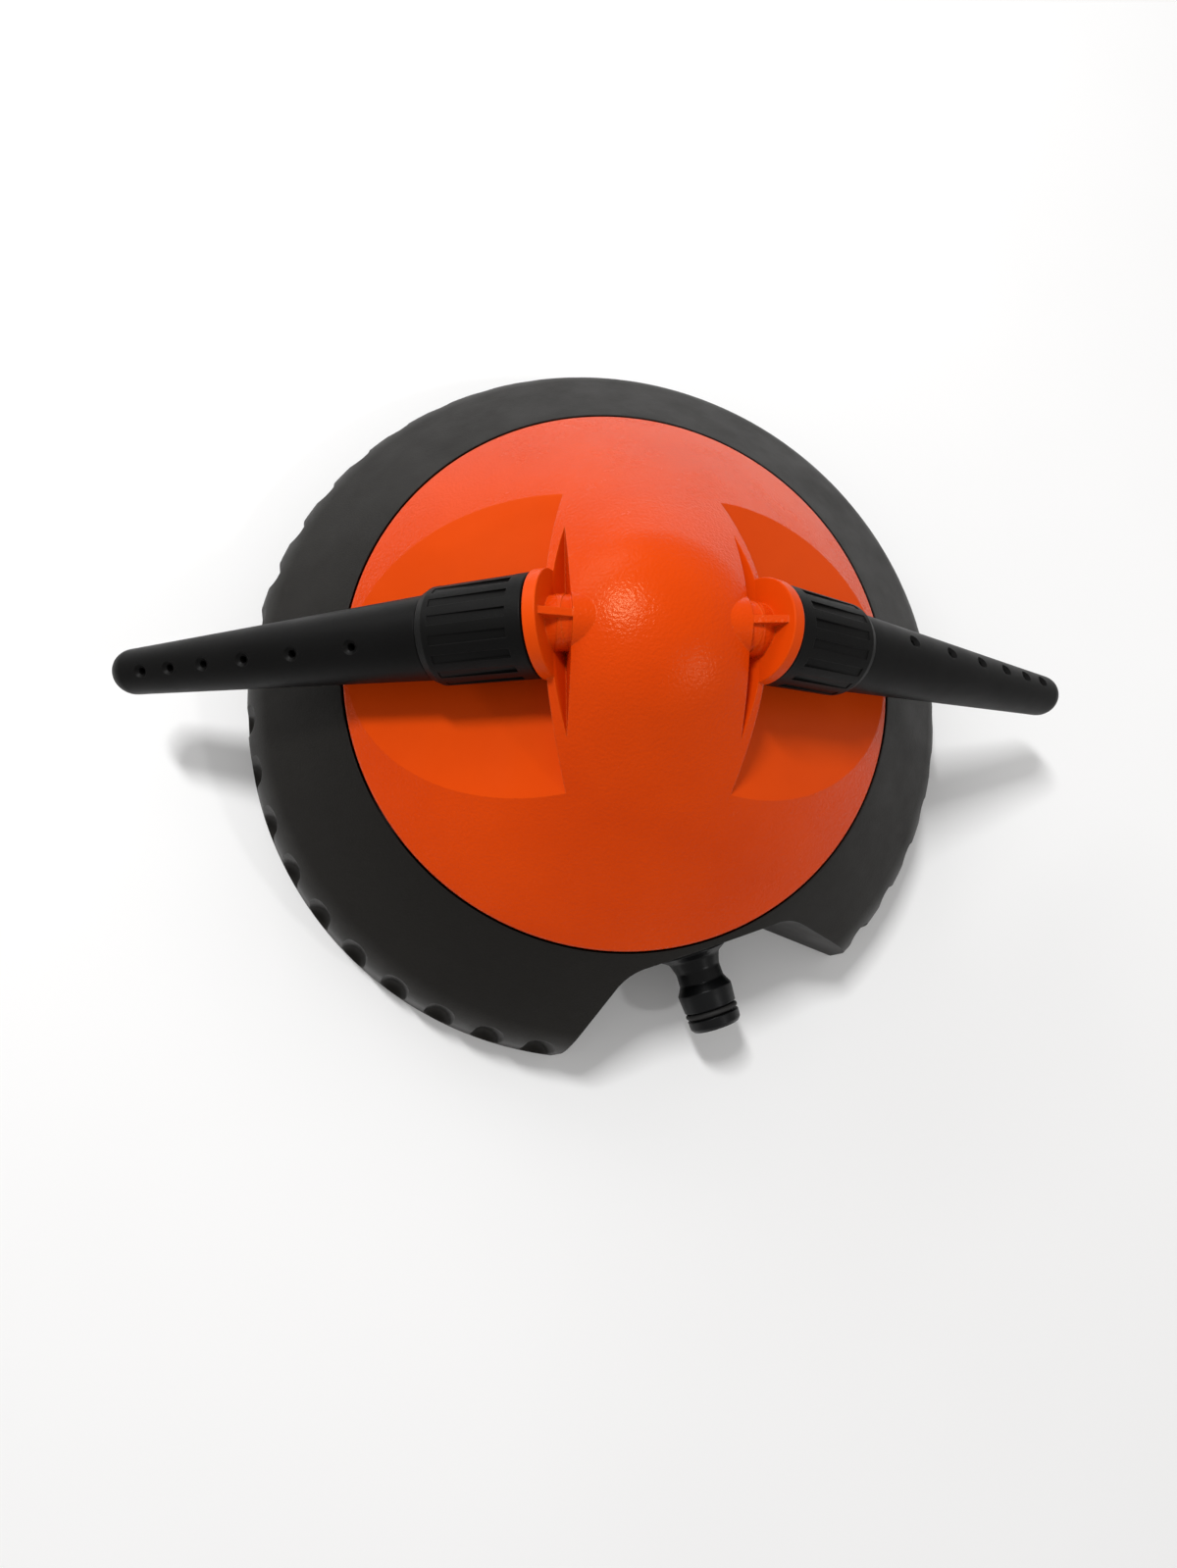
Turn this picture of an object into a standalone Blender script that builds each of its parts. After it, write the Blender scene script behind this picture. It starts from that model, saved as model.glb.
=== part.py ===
"""Two-arm rotating lawn sprinkler: a notched conical base, a domed rotor that spins on a
hollow spindle, and two drooping spray arms that twist in their sockets.

Frame: origin on the ground under the spindle, +Z up, hose inlet along -Y. Units are metres.
"""

import math

import bmesh
import bpy
from mathutils import Matrix, Vector

MM = 0.001
FINE_STEPS = 48
DISC_STEPS = 30
ROUND_STEPS = 20
SMALL_STEPS = 10
SHARP_ANGLE = math.radians(35)
WELD_DISTANCE = 0.004 * MM
QUARTER_TURN = math.pi / 2

# Conical base: one 41 degree cone, a rounded shoulder and a steep wall.
BASE_RADIUS = 118 * MM
WALL_DRAFT = math.radians(8)
CONE_ANGLE = math.radians(41.3)
SHOULDER_RADIUS = 24 * MM
BASE_WALL = 4.6 * MM
DRUM_INNER = 83.4 * MM
DRUM_OUTER = 85.9 * MM
DECK_TOP = 36.4 * MM
DECK_BOTTOM = 34 * MM
DECK_HOLE = 11.9 * MM
HUB_OUTER = 29.5 * MM
HUB_INNER = 27 * MM
HUB_BOTTOM = 4.7 * MM
RIB_DEGREES = (30, 90, 150, 210, 330)
RIB_THICKNESS = 2 * MM
RIB_BOTTOM = 12 * MM
BOSS_RADIUS = 3.8 * MM

# Notch for the hose coupling: a flat back, a bend each side and sides that spread outwards.
NOTCH_BACK = 85.4 * MM
NOTCH_HALF_FLAT = 21.2 * MM
NOTCH_BEND = 15 * MM
NOTCH_SPREAD = math.radians(39.3)
NOTCH_REACH = 60 * MM
NOTCH_WALL = 2.5 * MM

# Finger scoops round the wall, clear of the notch.
SCOOP_COUNT = 38
SCOOP_FIRST = math.radians(29.2)
SCOOP_RADIUS = 5.2 * MM
SCOOP_DEPTH = 3.6 * MM
SCOOP_TOP = 28.8 * MM
SCOOP_BOTTOM = 1.2 * MM

# Cover under the hub, with a saddle that holds the elbow up.
COVER_RADIUS = 31 * MM
COVER_TOP = 4.4 * MM
SADDLE_TOP = 11.2 * MM

# Rotor dome: it carries the base's cone on to a rounded crown.
DOME_RADIUS = 82.8 * MM
DOME_RIM_Z = 52.8 * MM
DOME_LIP_Z = 47 * MM
DOME_WALL = 2.5 * MM
DOME_LIP_INNER = 80.15 * MM
CROWN_START = 25 * MM
CONE_EASE = 0.74
REST_TURN = math.radians(-17.5)

# Arm axes droop from the crown. Along an axis, 0 is where the tube meets the collar.
ARM_DROOP = math.radians(26.34)
ARM_X = 56.8 * MM
ARM_Z = 81.7 * MM
POCKET_FLOOR = 14 * MM
POCKET_WALL_AT = -31.6 * MM
PLATE_BACK_AT = -34.8 * MM
FLANGE_FACE_AT = -30.2 * MM
FLANGE_BACK_AT = -33.7 * MM
FLANGE_RADIUS = 14.1 * MM
TUNNEL_RADIUS = 7.2 * MM
TUNNEL_LAP = 2 * MM
RIDGE_HALF = 23 * MM
SLOT_LEAN = math.radians(36)
BUMP_RADIUS = 8.4 * MM
WEB_HALF = 1 * MM
WEB_TOP = 105.8 * MM
WEB_END_TOP = 107.6 * MM

# Spray arm: one long taper with a round tip, and jets that lean back.
ARM_RADIUS = 11.3 * MM
ARM_WALL = 2.4 * MM
TIP_RADIUS = 6.7 * MM
TIP_CENTRE = 96 * MM
SLEEVE_START = -23 * MM
SLEEVE_RADIUS = 10.2 * MM
JET_LEAN = math.radians(19.5)
JET_COUNT = 6
JET_FIRST = 19.4 * MM
JET_PITCH = 18.5 * MM
JET_PITCH_RATIO = 0.857
JET_RADIUS = 0.9 * MM
JET_DISH_RADIUS = 2.2 * MM
JET_DISH_DEPTH = 0.9 * MM

# Ribbed collar that holds the arm on its spigot.
COLLAR_RADIUS = 13.6 * MM
COLLAR_OUTER_RADIUS = 13 * MM
COLLAR_BORE = 10.5 * MM
COLLAR_START = -29.7 * MM
COLLAR_END = -0.3 * MM
COLLAR_LIP = 2.7 * MM
FLUTE_COUNT = 16
FLUTE_HALF = 1.5 * MM
FLUTE_FLOOR = 12.8 * MM
FLUTE_START = -25 * MM
FLUTE_END = -4.5 * MM

# Water way: nipple, elbow, hollow spindle, and a manifold with two spigots.
INLET_Z = 21 * MM
INLET_BORE = 5.2 * MM
INLET_THREAD = 8 * MM
INLET_SOCKET = 15.4 * MM
ELBOW_RADIUS = 9.5 * MM
ELBOW_BORE = 5.5 * MM
ELBOW_END = -85.1 * MM
ELBOW_HOLE = 9.8 * MM
ELBOW_FLANGE = 17 * MM
RISER_RADIUS = 11.5 * MM
RISER_TOP = 58 * MM
RISER_SOCKET = 44 * MM
SPINDLE_RADIUS = 6 * MM
SPINDLE_BORE = 3.8 * MM
SPINDLE_BOTTOM = 45.3 * MM
SPINDLE_HEAD = 75.2 * MM
SPINDLE_TOP = 79 * MM
BEARING_BORE = 6.3 * MM
BEARING_BOTTOM = 60 * MM
BEARING_TOP = 73.3 * MM
ROTOR_HUB_RADIUS = 14 * MM
ROTOR_HUB_BOTTOM = 62.3 * MM
ROTOR_HUB_TOP = 99 * MM
CHAMBER_RADIUS = 8.4 * MM
CHAMBER_TOP = 92 * MM
SPIGOT_RADIUS = 6 * MM
SPIGOT_BORE = 3.6 * MM
SPIGOT_END = -8 * MM
SPIGOT_CLEARANCE = 0.35 * MM
SPIGOT_RIDGE = 7.6 * MM
SPIGOT_GROOVE = 4.4 * MM
CROSS_TUBE_Z = 97.6 * MM
LUG_TOP = 91 * MM
LUG_BOTTOM = 88 * MM
O_RING_SECTION = 0.75 * MM
SEAL_AT = 66.9 * MM
ARM_SEAL_AT = -13 * MM
NIPPLE_SEAL_AT = 21.45 * MM

# Self-tapping screws.
SCREW_HEAD_RADIUS = 3 * MM
SCREW_HEAD_HEIGHT = 1.65 * MM
SCREW_SHANK_RADIUS = 1.5 * MM
SCREW_LENGTH = 18 * MM
PILOT_RADIUS = 1.8 * MM
COVER_SCREW_AT = 17.5 * MM
COVER_SCREW_Z = 0.35 * MM
DOME_SCREW_AT = 20 * MM
DOME_SCREW_Z = 86 * MM
DOME_SCREW_LENGTH = 11 * MM

COLOURS = {
    "orange_plastic": ((0.83, 0.10, 0.015), 0.45, 0.0),
    "black_plastic": ((0.022, 0.021, 0.020), 0.55, 0.0),
    "arm_plastic": ((0.026, 0.024, 0.023), 0.5, 0.0),
    "rubber": ((0.012, 0.012, 0.012), 0.7, 0.0),
    "spindle_brass": ((0.72, 0.52, 0.22), 0.3, 1.0),
    "screw_steel": ((0.62, 0.62, 0.60), 0.3, 1.0),
    "washer_nylon": ((0.80, 0.79, 0.74), 0.5, 0.0),
}


def clear_scene():
    for obj in list(bpy.data.objects):
        bpy.data.objects.remove(obj, do_unlink=True)


def new_collection(name):
    collection = bpy.data.collections.new(name)
    bpy.context.scene.collection.children.link(collection)
    return collection


def make_materials():
    made = {}
    for name, (colour, roughness, metallic) in COLOURS.items():
        material = bpy.data.materials.new(name)
        material.use_nodes = True
        shader = material.node_tree.nodes["Principled BSDF"]
        shader.inputs["Base Color"].default_value = (*colour, 1.0)
        shader.inputs["Roughness"].default_value = roughness
        shader.inputs["Metallic"].default_value = metallic
        made[name] = material
    return made


def place(obj, parent=None, location=(0, 0, 0), rotation=(0, 0, 0)):
    parts.objects.link(obj)
    obj.parent = parent
    obj.location = location
    obj.rotation_euler = rotation
    return obj


def place_cutter(obj, parent=None, location=(0, 0, 0), rotation=(0, 0, 0)):
    cutters.objects.link(obj)
    obj.parent = parent
    obj.location = location
    obj.rotation_euler = rotation
    obj.hide_render = True
    obj.display_type = "WIRE"
    return obj


def evaluated_mesh(obj):
    bpy.context.view_layer.update()
    graph = bpy.context.evaluated_depsgraph_get()
    return bpy.data.meshes.new_from_object(obj.evaluated_get(graph))


def arc(centre, radius, start, end, count):
    """Points on an arc; the angles are in degrees from the first axis."""
    points = []
    for i in range(count):
        angle = math.radians(start + (end - start) * i / (count - 1))
        x = centre[0] + radius * math.cos(angle)
        points.append((x, centre[1] + radius * math.sin(angle)))
    return points


def turned(name, profile, steps=ROUND_STEPS, ring=True):
    """(radius, height) points turned about Z, down the outer side. A ring's profile closes."""
    edges = [(i, i + 1) for i in range(len(profile) - 1)]
    if ring:
        edges.append((len(profile) - 1, 0))
    mesh = bpy.data.meshes.new(name)
    mesh.from_pydata([(radius, 0, height) for radius, height in profile], edges, [])
    obj = bpy.data.objects.new(name, mesh)
    screw = obj.modifiers.new("Turn", "SCREW")
    screw.steps = steps
    screw.render_steps = steps
    screw.use_merge_vertices = True
    screw.merge_threshold = 0.01 * MM
    screw.use_smooth_shade = True
    return obj


def rod(name, radius, low, high, steps=ROUND_STEPS):
    """A plain cylinder along Z."""
    mesh = bpy.data.meshes.new(name)
    shape = bmesh.new()
    bmesh.ops.create_cone(
        shape, cap_ends=True, segments=steps, radius1=radius, radius2=radius, depth=high - low
    )
    bmesh.ops.translate(shape, verts=shape.verts, vec=(0, 0, (low + high) / 2))
    shape.to_mesh(mesh)
    shape.free()
    return bpy.data.objects.new(name, mesh)


def block(name, low, high):
    """A box between two corners."""
    mesh = bpy.data.meshes.new(name)
    shape = bmesh.new()
    bmesh.ops.create_cube(shape, size=1)
    bmesh.ops.scale(shape, verts=shape.verts, vec=Vector(high) - Vector(low))
    bmesh.ops.translate(shape, verts=shape.verts, vec=(Vector(high) + Vector(low)) / 2)
    shape.to_mesh(mesh)
    shape.free()
    return bpy.data.objects.new(name, mesh)


def prism(name, outline, direction):
    """A flat outline of 3D points, pushed along a direction."""
    mesh = bpy.data.meshes.new(name)
    shape = bmesh.new()
    face = shape.faces.new([shape.verts.new(point) for point in outline])
    pushed = bmesh.ops.extrude_face_region(shape, geom=[face])
    moved = [item for item in pushed["geom"] if isinstance(item, bmesh.types.BMVert)]
    bmesh.ops.translate(shape, verts=moved, vec=direction)
    bmesh.ops.recalc_face_normals(shape, faces=shape.faces)
    shape.to_mesh(mesh)
    shape.free()
    return bpy.data.objects.new(name, mesh)


def bent_tube(name, radius, end_at, sides):
    """A tube from spigot to spigot: along one arm axis, level through the hub, and back down."""
    bend = arm_point(CROSS_TUBE_Z)
    end = Vector((ARM_X + math.cos(ARM_DROOP) * end_at, 0, ARM_Z - math.sin(ARM_DROOP) * end_at))
    path = [end, bend, Vector((-bend.x, 0, bend.z)), Vector((-end.x, 0, end.z))]
    curve = bpy.data.curves.new(name, "CURVE")
    curve.dimensions = "3D"
    curve.bevel_depth = radius
    curve.bevel_resolution = (sides - 4) // 2
    curve.use_fill_caps = True
    spline = curve.splines.new("POLY")
    spline.points.add(len(path) - 1)
    for point, place_at in zip(spline.points, path):
        point.co = (*place_at, 1)
    guide = bpy.data.objects.new(name + "_path", curve)
    place_cutter(guide)
    mesh = evaluated_mesh(guide)
    bpy.data.objects.remove(guide)
    shape = bmesh.new()
    shape.from_mesh(mesh)
    bmesh.ops.remove_doubles(shape, verts=shape.verts, dist=0.001 * MM)
    bmesh.ops.recalc_face_normals(shape, faces=shape.faces)
    shape.to_mesh(mesh)
    shape.free()
    return bpy.data.objects.new(name, mesh)


def gathered(name, shape_source, matrices):
    """Copies of one shape, each moved by a matrix, held in one cutter mesh."""
    place_cutter(shape_source)
    single = evaluated_mesh(shape_source)
    bpy.data.objects.remove(shape_source)
    group = bmesh.new()
    for matrix in matrices:
        start = len(group.verts)
        group.from_mesh(single)
        group.verts.ensure_lookup_table()
        bmesh.ops.transform(group, matrix=matrix, verts=group.verts[start:])
    mesh = bpy.data.meshes.new(name)
    group.to_mesh(mesh)
    group.free()
    return bpy.data.objects.new(name, mesh)


def settle(obj):
    """Turns the modifiers into mesh, and joins corners that lie within a few microns."""
    mesh = evaluated_mesh(obj)
    mesh.name = obj.name
    shape = bmesh.new()
    shape.from_mesh(mesh)
    bmesh.ops.remove_doubles(shape, verts=shape.verts, dist=WELD_DISTANCE)
    bmesh.ops.dissolve_degenerate(shape, edges=shape.edges, dist=WELD_DISTANCE)
    shape.to_mesh(mesh)
    shape.free()
    obj.modifiers.clear()
    obj.data = mesh


def combine(obj, others, operation):
    for other in others:
        boolean = obj.modifiers.new(operation.title(), "BOOLEAN")
        boolean.operation = operation
        boolean.solver = "EXACT"
        boolean.object = other
        settle(obj)


def cut(obj, *others):
    combine(obj, others, "DIFFERENCE")


def join(obj, *others):
    combine(obj, others, "UNION")


def finish(obj, material):
    """Paints a piece and shades it smooth between its sharp edges."""
    settle(obj)
    mesh = obj.data
    mesh.materials.clear()
    mesh.materials.append(materials[material])
    mesh.shade_smooth()
    mesh.set_sharp_from_angle(angle=SHARP_ANGLE)
    return obj


def copied(source, name, parent=None, location=(0, 0, 0), rotation=(0, 0, 0)):
    """Another piece of the same shape, which shares its mesh."""
    return place(bpy.data.objects.new(name, source.data), parent, location, rotation)


def cone_height(radius):
    """Height of the cone at a radius. It eases a little towards the crown."""
    inward = DOME_RADIUS - radius
    return DOME_RIM_Z + math.tan(CONE_ANGLE) * inward - CONE_EASE * max(inward, 0) ** 2


def cone_slope(radius):
    return math.atan(math.tan(CONE_ANGLE) - 2 * CONE_EASE * max(DOME_RADIUS - radius, 0))


def arm_point(height):
    """The point of the right-hand arm axis at a height."""
    return Vector((ARM_X - (height - ARM_Z) / math.tan(ARM_DROOP), 0, height))


def plate_x(height, along):
    """X of the plane across the right-hand arm axis, at a height and a place along the axis."""
    return ARM_X + (along + (height - ARM_Z) * math.sin(ARM_DROOP)) / math.cos(ARM_DROOP)


def shoulder_centre():
    """Centre of the arc that meets both the cone and the steep wall."""
    slope = math.tan(CONE_ANGLE)
    lean = math.tan(WALL_DRAFT)
    corner_z = (DOME_RIM_Z - slope * (BASE_RADIUS - DOME_RADIUS)) / (1 - slope * lean)
    corner_r = BASE_RADIUS - lean * corner_z
    tangent = SHOULDER_RADIUS * math.tan((QUARTER_TURN - CONE_ANGLE - WALL_DRAFT) / 2)
    start_r = corner_r - tangent * math.cos(CONE_ANGLE)
    start_z = corner_z + tangent * math.sin(CONE_ANGLE)
    return (
        start_r - SHOULDER_RADIUS * math.sin(CONE_ANGLE),
        start_z - SHOULDER_RADIUS * math.cos(CONE_ANGLE),
    )


def shoulder_arc(inset, count):
    start = 90 - math.degrees(CONE_ANGLE)
    return arc(shoulder_centre(), SHOULDER_RADIUS - inset, start, math.degrees(WALL_DRAFT), count)


def dome_profile(inset, end_radius, crown_points, cone_steps):
    """Crown arc and cone of the dome, moved inwards by an inset."""
    angle = cone_slope(CROWN_START)
    radius = CROWN_START / math.sin(angle)
    centre = (0, cone_height(CROWN_START) - radius * math.cos(angle))
    profile = arc(centre, radius - inset, 90, 90 - math.degrees(angle), crown_points)
    profile[0] = (0, profile[0][1])
    for i in range(1, cone_steps + 1):
        r = CROWN_START + (end_radius - CROWN_START) * i / cone_steps
        slope = cone_slope(r)
        profile.append((r - inset * math.sin(slope), cone_height(r) - inset * math.cos(slope)))
    return profile


def ring_section(ring_radius, height):
    """The round section of an O-ring."""
    return arc((ring_radius, height), O_RING_SECTION, 90, -210, 6)


def washer(name, inner, outer, low, high, steps=ROUND_STEPS):
    return turned(name, [(inner, high), (outer, high), (outer, low), (inner, low)], steps)


def notch_prism(name, inset):
    """The notch in plan: a flat back, a bend each side and spreading sides to an open front."""
    centre_y = -NOTCH_BACK - NOTCH_BEND
    lean = 90 - math.degrees(NOTCH_SPREAD)
    bend = arc((NOTCH_HALF_FLAT, centre_y), NOTCH_BEND + inset, lean, 90, 5)
    start_x, start_y = bend[0]
    reach_x = start_x + NOTCH_REACH * math.cos(NOTCH_SPREAD)
    right = [(reach_x, start_y - NOTCH_REACH * math.sin(NOTCH_SPREAD))] + bend
    left = [(-x, y) for x, y in reversed(right)]
    outline = [Vector((x, y, -5 * MM)) for x, y in right + left]
    return place_cutter(prism(name, outline, Vector((0, 0, 70 * MM))))


def scoop_cutters():
    """Upright capsules all round, each sunk a little into the steep wall."""
    middle = (SCOOP_TOP + SCOOP_BOTTOM) / 2
    reach = (SCOOP_TOP - SCOOP_BOTTOM) / 2 - SCOOP_RADIUS
    ends = arc((0, reach), SCOOP_RADIUS, 90, 0, 3) + arc((0, -reach), SCOOP_RADIUS, 0, -90, 3)
    capsule = turned("scoop", ends, 8, ring=False)
    wall_radius = BASE_RADIUS - math.tan(WALL_DRAFT) * middle
    depth = Vector((wall_radius + SCOOP_RADIUS - SCOOP_DEPTH, 0, middle))
    matrices = []
    for i in range(SCOOP_COUNT):
        sweep = 2 * (math.pi - SCOOP_FIRST) * i / (SCOOP_COUNT - 1)
        turn = Matrix.Rotation(SCOOP_FIRST + sweep - QUARTER_TURN, 4, "Z")
        matrices.append(turn @ Matrix.Translation(depth) @ Matrix.Rotation(-WALL_DRAFT, 4, "Y"))
    return place_cutter(gathered("scoop_cutters", capsule, matrices))


def screw_spots():
    sides = (-COVER_SCREW_AT, COVER_SCREW_AT)
    return [(x, y) for x in sides for y in sides]


def make_base_shell():
    """Skirt, drum wall, deck and hub in one moulding, with the notch and scoops cut in."""
    outside = [(DRUM_INNER, cone_height(DRUM_INNER))] + shoulder_arc(0, 6)
    outside += [(BASE_RADIUS, 0), (DRUM_INNER, 0), (DRUM_INNER, DECK_BOTTOM)]
    outside += [(HUB_OUTER, DECK_BOTTOM), (HUB_OUTER, HUB_BOTTOM)]
    outside += [(HUB_INNER, HUB_BOTTOM), (HUB_INNER, DECK_BOTTOM)]
    outside += [(DECK_HOLE, DECK_BOTTOM), (DECK_HOLE, DECK_TOP), (DRUM_INNER, DECK_TOP)]
    shell = place(turned("base_shell", outside, FINE_STEPS))

    below = -1 * MM
    roof = cone_height(DRUM_OUTER) - BASE_WALL / math.cos(CONE_ANGLE)
    foot = BASE_RADIUS - BASE_WALL / math.cos(WALL_DRAFT) - math.tan(WALL_DRAFT) * below
    hollow = [(DRUM_OUTER, roof)] + shoulder_arc(BASE_WALL, 6)
    hollow += [(foot, below), (DRUM_OUTER, below)]
    channel = place_cutter(turned("channel_cutter", hollow, FINE_STEPS))
    cut(channel, notch_prism("notch_wall_cutter", NOTCH_WALL))

    ribs = []
    for degrees in RIB_DEGREES:
        low = (HUB_OUTER - 1 * MM, -RIB_THICKNESS / 2, RIB_BOTTOM)
        high = (DRUM_INNER + 1 * MM, RIB_THICKNESS / 2, DECK_BOTTOM + 1 * MM)
        rib = block(f"rib_{degrees}", low, high)
        ribs.append(place_cutter(rib, rotation=(0, 0, math.radians(degrees))))
    bosses = []
    pilots = []
    for index, (x, y) in enumerate(screw_spots()):
        boss = rod(f"boss_{index}", BOSS_RADIUS, HUB_BOTTOM, DECK_BOTTOM + 1 * MM, SMALL_STEPS)
        bosses.append(place_cutter(boss, location=(x, y, 0)))
        pilot = rod(f"pilot_{index}", PILOT_RADIUS, 0, 22 * MM, SMALL_STEPS)
        pilots.append(place_cutter(pilot, location=(x, y, 0)))
    inlet_hole = rod("inlet_hole", ELBOW_HOLE, 15 * MM, 95 * MM)
    place_cutter(inlet_hole, location=(0, 0, INLET_Z), rotation=(QUARTER_TURN, 0, 0))
    inlet_slot = block(
        "inlet_slot", (-ELBOW_HOLE, -HUB_OUTER - 2 * MM, 0), (ELBOW_HOLE, -20 * MM, INLET_Z)
    )

    cut(shell, notch_prism("notch_cutter", 0), channel)
    join(shell, *ribs, *bosses)
    cut(shell, inlet_hole, place_cutter(inlet_slot), *pilots, scoop_cutters())
    return finish(shell, "black_plastic")


def make_hub_cover():
    """Round cover under the hub. Its flat underside rests on the ground."""
    chamfer = 0.8 * MM
    outline = [(0, COVER_TOP), (COVER_RADIUS, COVER_TOP), (COVER_RADIUS, chamfer)]
    outline += [(COVER_RADIUS - chamfer, 0), (0, 0)]
    cover = place(turned("hub_cover", outline, DISC_STEPS, ring=False))
    saddle = block("saddle", (-6 * MM, -22 * MM, COVER_TOP - 1 * MM), (6 * MM, 8 * MM, SADDLE_TOP))
    join(cover, place_cutter(saddle))
    head_room = SCREW_HEAD_RADIUS + 0.4 * MM
    seat = COVER_SCREW_Z + SCREW_HEAD_HEIGHT + 0.3 * MM
    for index, (x, y) in enumerate(screw_spots()):
        hole = rod(f"cover_hole_{index}", PILOT_RADIUS, -1 * MM, 6 * MM, SMALL_STEPS)
        sink = rod(f"cover_sink_{index}", head_room, -1 * MM, seat, SMALL_STEPS)
        cut(cover, place_cutter(hole, location=(x, y, 0)), place_cutter(sink, location=(x, y, 0)))
    return finish(cover, "black_plastic")


def screw_shape(name, length):
    """Self-tapping screw, head down, from its head's underside at 0 to its point."""
    head = SCREW_HEAD_HEIGHT
    point = [(0, length), (0.5 * MM, length), (SCREW_SHANK_RADIUS, length - 2 * MM)]
    shank = [(SCREW_SHANK_RADIUS, head), (SCREW_HEAD_RADIUS, head)]
    face = [(SCREW_HEAD_RADIUS, 0.4 * MM), (SCREW_HEAD_RADIUS - 0.4 * MM, 0), (0, 0)]
    return turned(name, point + shank + face, SMALL_STEPS, ring=False)


def make_cover_screws():
    first = None
    for index, (x, y) in enumerate(screw_spots(), start=1):
        name = f"cover_screw_{index}"
        if first is None:
            screw = place(screw_shape(name, SCREW_LENGTH), location=(x, y, COVER_SCREW_Z))
            first = finish(screw, "screw_steel")
        else:
            copied(first, name, location=(x, y, COVER_SCREW_Z))


def make_inlet_elbow():
    """Level tube from the notch to the middle, and a riser with a socket for the spindle."""
    level = (QUARTER_TURN, 0, 0)
    elbow = place(rod("inlet_elbow", RISER_RADIUS, INLET_Z - ELBOW_RADIUS, RISER_TOP))
    tube = rod("elbow_tube", ELBOW_RADIUS, -5 * MM, -ELBOW_END)
    flange = rod("elbow_flange", ELBOW_FLANGE, 31 * MM, 33.7 * MM)
    join(elbow, place_cutter(tube, location=(0, 0, INLET_Z), rotation=level), place_cutter(flange))
    bore = rod("elbow_bore", ELBOW_BORE, -1 * MM, 90 * MM, 16)
    thread = rod("elbow_thread", INLET_THREAD, NOTCH_BACK - INLET_SOCKET, 90 * MM)
    rise = rod("riser_bore", SPINDLE_BORE, INLET_Z, RISER_TOP + 1 * MM, 16)
    socket = rod("riser_socket", BEARING_BORE, RISER_SOCKET, RISER_TOP + 1 * MM)
    cut(elbow, place_cutter(bore, location=(0, 0, INLET_Z), rotation=level))
    cut(elbow, place_cutter(thread, location=(0, 0, INLET_Z), rotation=level))
    cut(elbow, place_cutter(rise), place_cutter(socket))
    return finish(elbow, "black_plastic")


def nipple_profile():
    """Quick-connect tail: rounded tip, O-ring groove, latch ridge, neck, flare and thread."""
    tip = 26.6 * MM
    groove_half = 1.3 * MM
    body = 8.4 * MM
    profile = [(INLET_BORE, tip), (7.3 * MM, tip), (7.9 * MM, 26.1 * MM), (8.2 * MM, 25.2 * MM)]
    profile += [(body, NIPPLE_SEAL_AT + groove_half), (6.7 * MM, NIPPLE_SEAL_AT + groove_half)]
    profile += [(6.7 * MM, NIPPLE_SEAL_AT - groove_half), (body, NIPPLE_SEAL_AT - groove_half)]
    ridge = [(8.75, 16.2), (8.83, 14.6), (8.7, 13.6), (8, 12.6), (7.3, 11.6)]
    neck = [(7.2, 9.5), (7.3, 7.2), (7.75, 5.2), (8.7, 3.6), (10.1, 2.5), (11, 2.2), (11, 0.3)]
    profile += [(radius * MM, along * MM) for radius, along in ridge + neck]
    thread = INLET_THREAD - 0.3 * MM
    inner_end = 1.4 * MM - INLET_SOCKET
    return profile + [(thread, 0.3 * MM), (thread, inner_end), (INLET_BORE, inner_end)]


def make_inlet_fittings():
    """The hose nipple, its O-ring and the gasket behind its thread, all along -Y."""
    mouth = {"location": (0, -NOTCH_BACK, INLET_Z), "rotation": (QUARTER_TURN, 0, 0)}
    finish(place(turned("hose_nipple", nipple_profile()), **mouth), "black_plastic")
    ring = turned("nipple_o_ring", ring_section(7.75 * MM, NIPPLE_SEAL_AT))
    finish(place(ring, **mouth), "rubber")
    behind = 0.3 * MM - INLET_SOCKET
    gasket = washer("nipple_gasket", INLET_BORE + 0.3 * MM, 7.6 * MM, behind, behind + 0.8 * MM)
    finish(place(gasket, **mouth), "rubber")


def make_spindle():
    """Hollow headed spindle in the riser, its gasket, and the washer the rotor rides on."""
    outline = [(SPINDLE_BORE, SPINDLE_TOP), (7.8 * MM, SPINDLE_TOP), (7.8 * MM, SPINDLE_HEAD)]
    outline += [(SPINDLE_RADIUS, SPINDLE_HEAD), (SPINDLE_RADIUS, SPINDLE_BOTTOM)]
    outline += [(SPINDLE_BORE, SPINDLE_BOTTOM)]
    finish(place(turned("spindle", outline)), "spindle_brass")
    gasket = washer("spindle_gasket", 4.1 * MM, SPINDLE_RADIUS, 44.3 * MM, 45 * MM)
    finish(place(gasket), "rubber")
    wear = washer("wear_washer", 6.5 * MM, 11.3 * MM, RISER_TOP + 0.4 * MM, BEARING_BOTTOM - 0.3 * MM)
    finish(place(wear), "washer_nylon")


def slot_prism(name, wall, side):
    """Wedge between the ridge's upright flank and the leaning wings, or the walls around it."""
    foot = ARM_Z + ((RIDGE_HALF - ARM_X) * math.cos(ARM_DROOP) - PLATE_BACK_AT) / math.sin(ARM_DROOP)
    top = 125 * MM
    reach = 40 * MM
    low = foot - 1.4 * wall
    wing_top = RIDGE_HALF + (top - foot) * math.tan(SLOT_LEAN)
    outline = [(RIDGE_HALF - wall, low), (RIDGE_HALF - wall, top), (wing_top, top)]
    if wall > 0:
        outline.append((RIDGE_HALF + wall, low))
    points = [Vector((side * x, -reach, z)) for x, z in outline]
    return place_cutter(prism(name, points, Vector((0, 2 * reach, 0))), rotor_axis)


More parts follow.
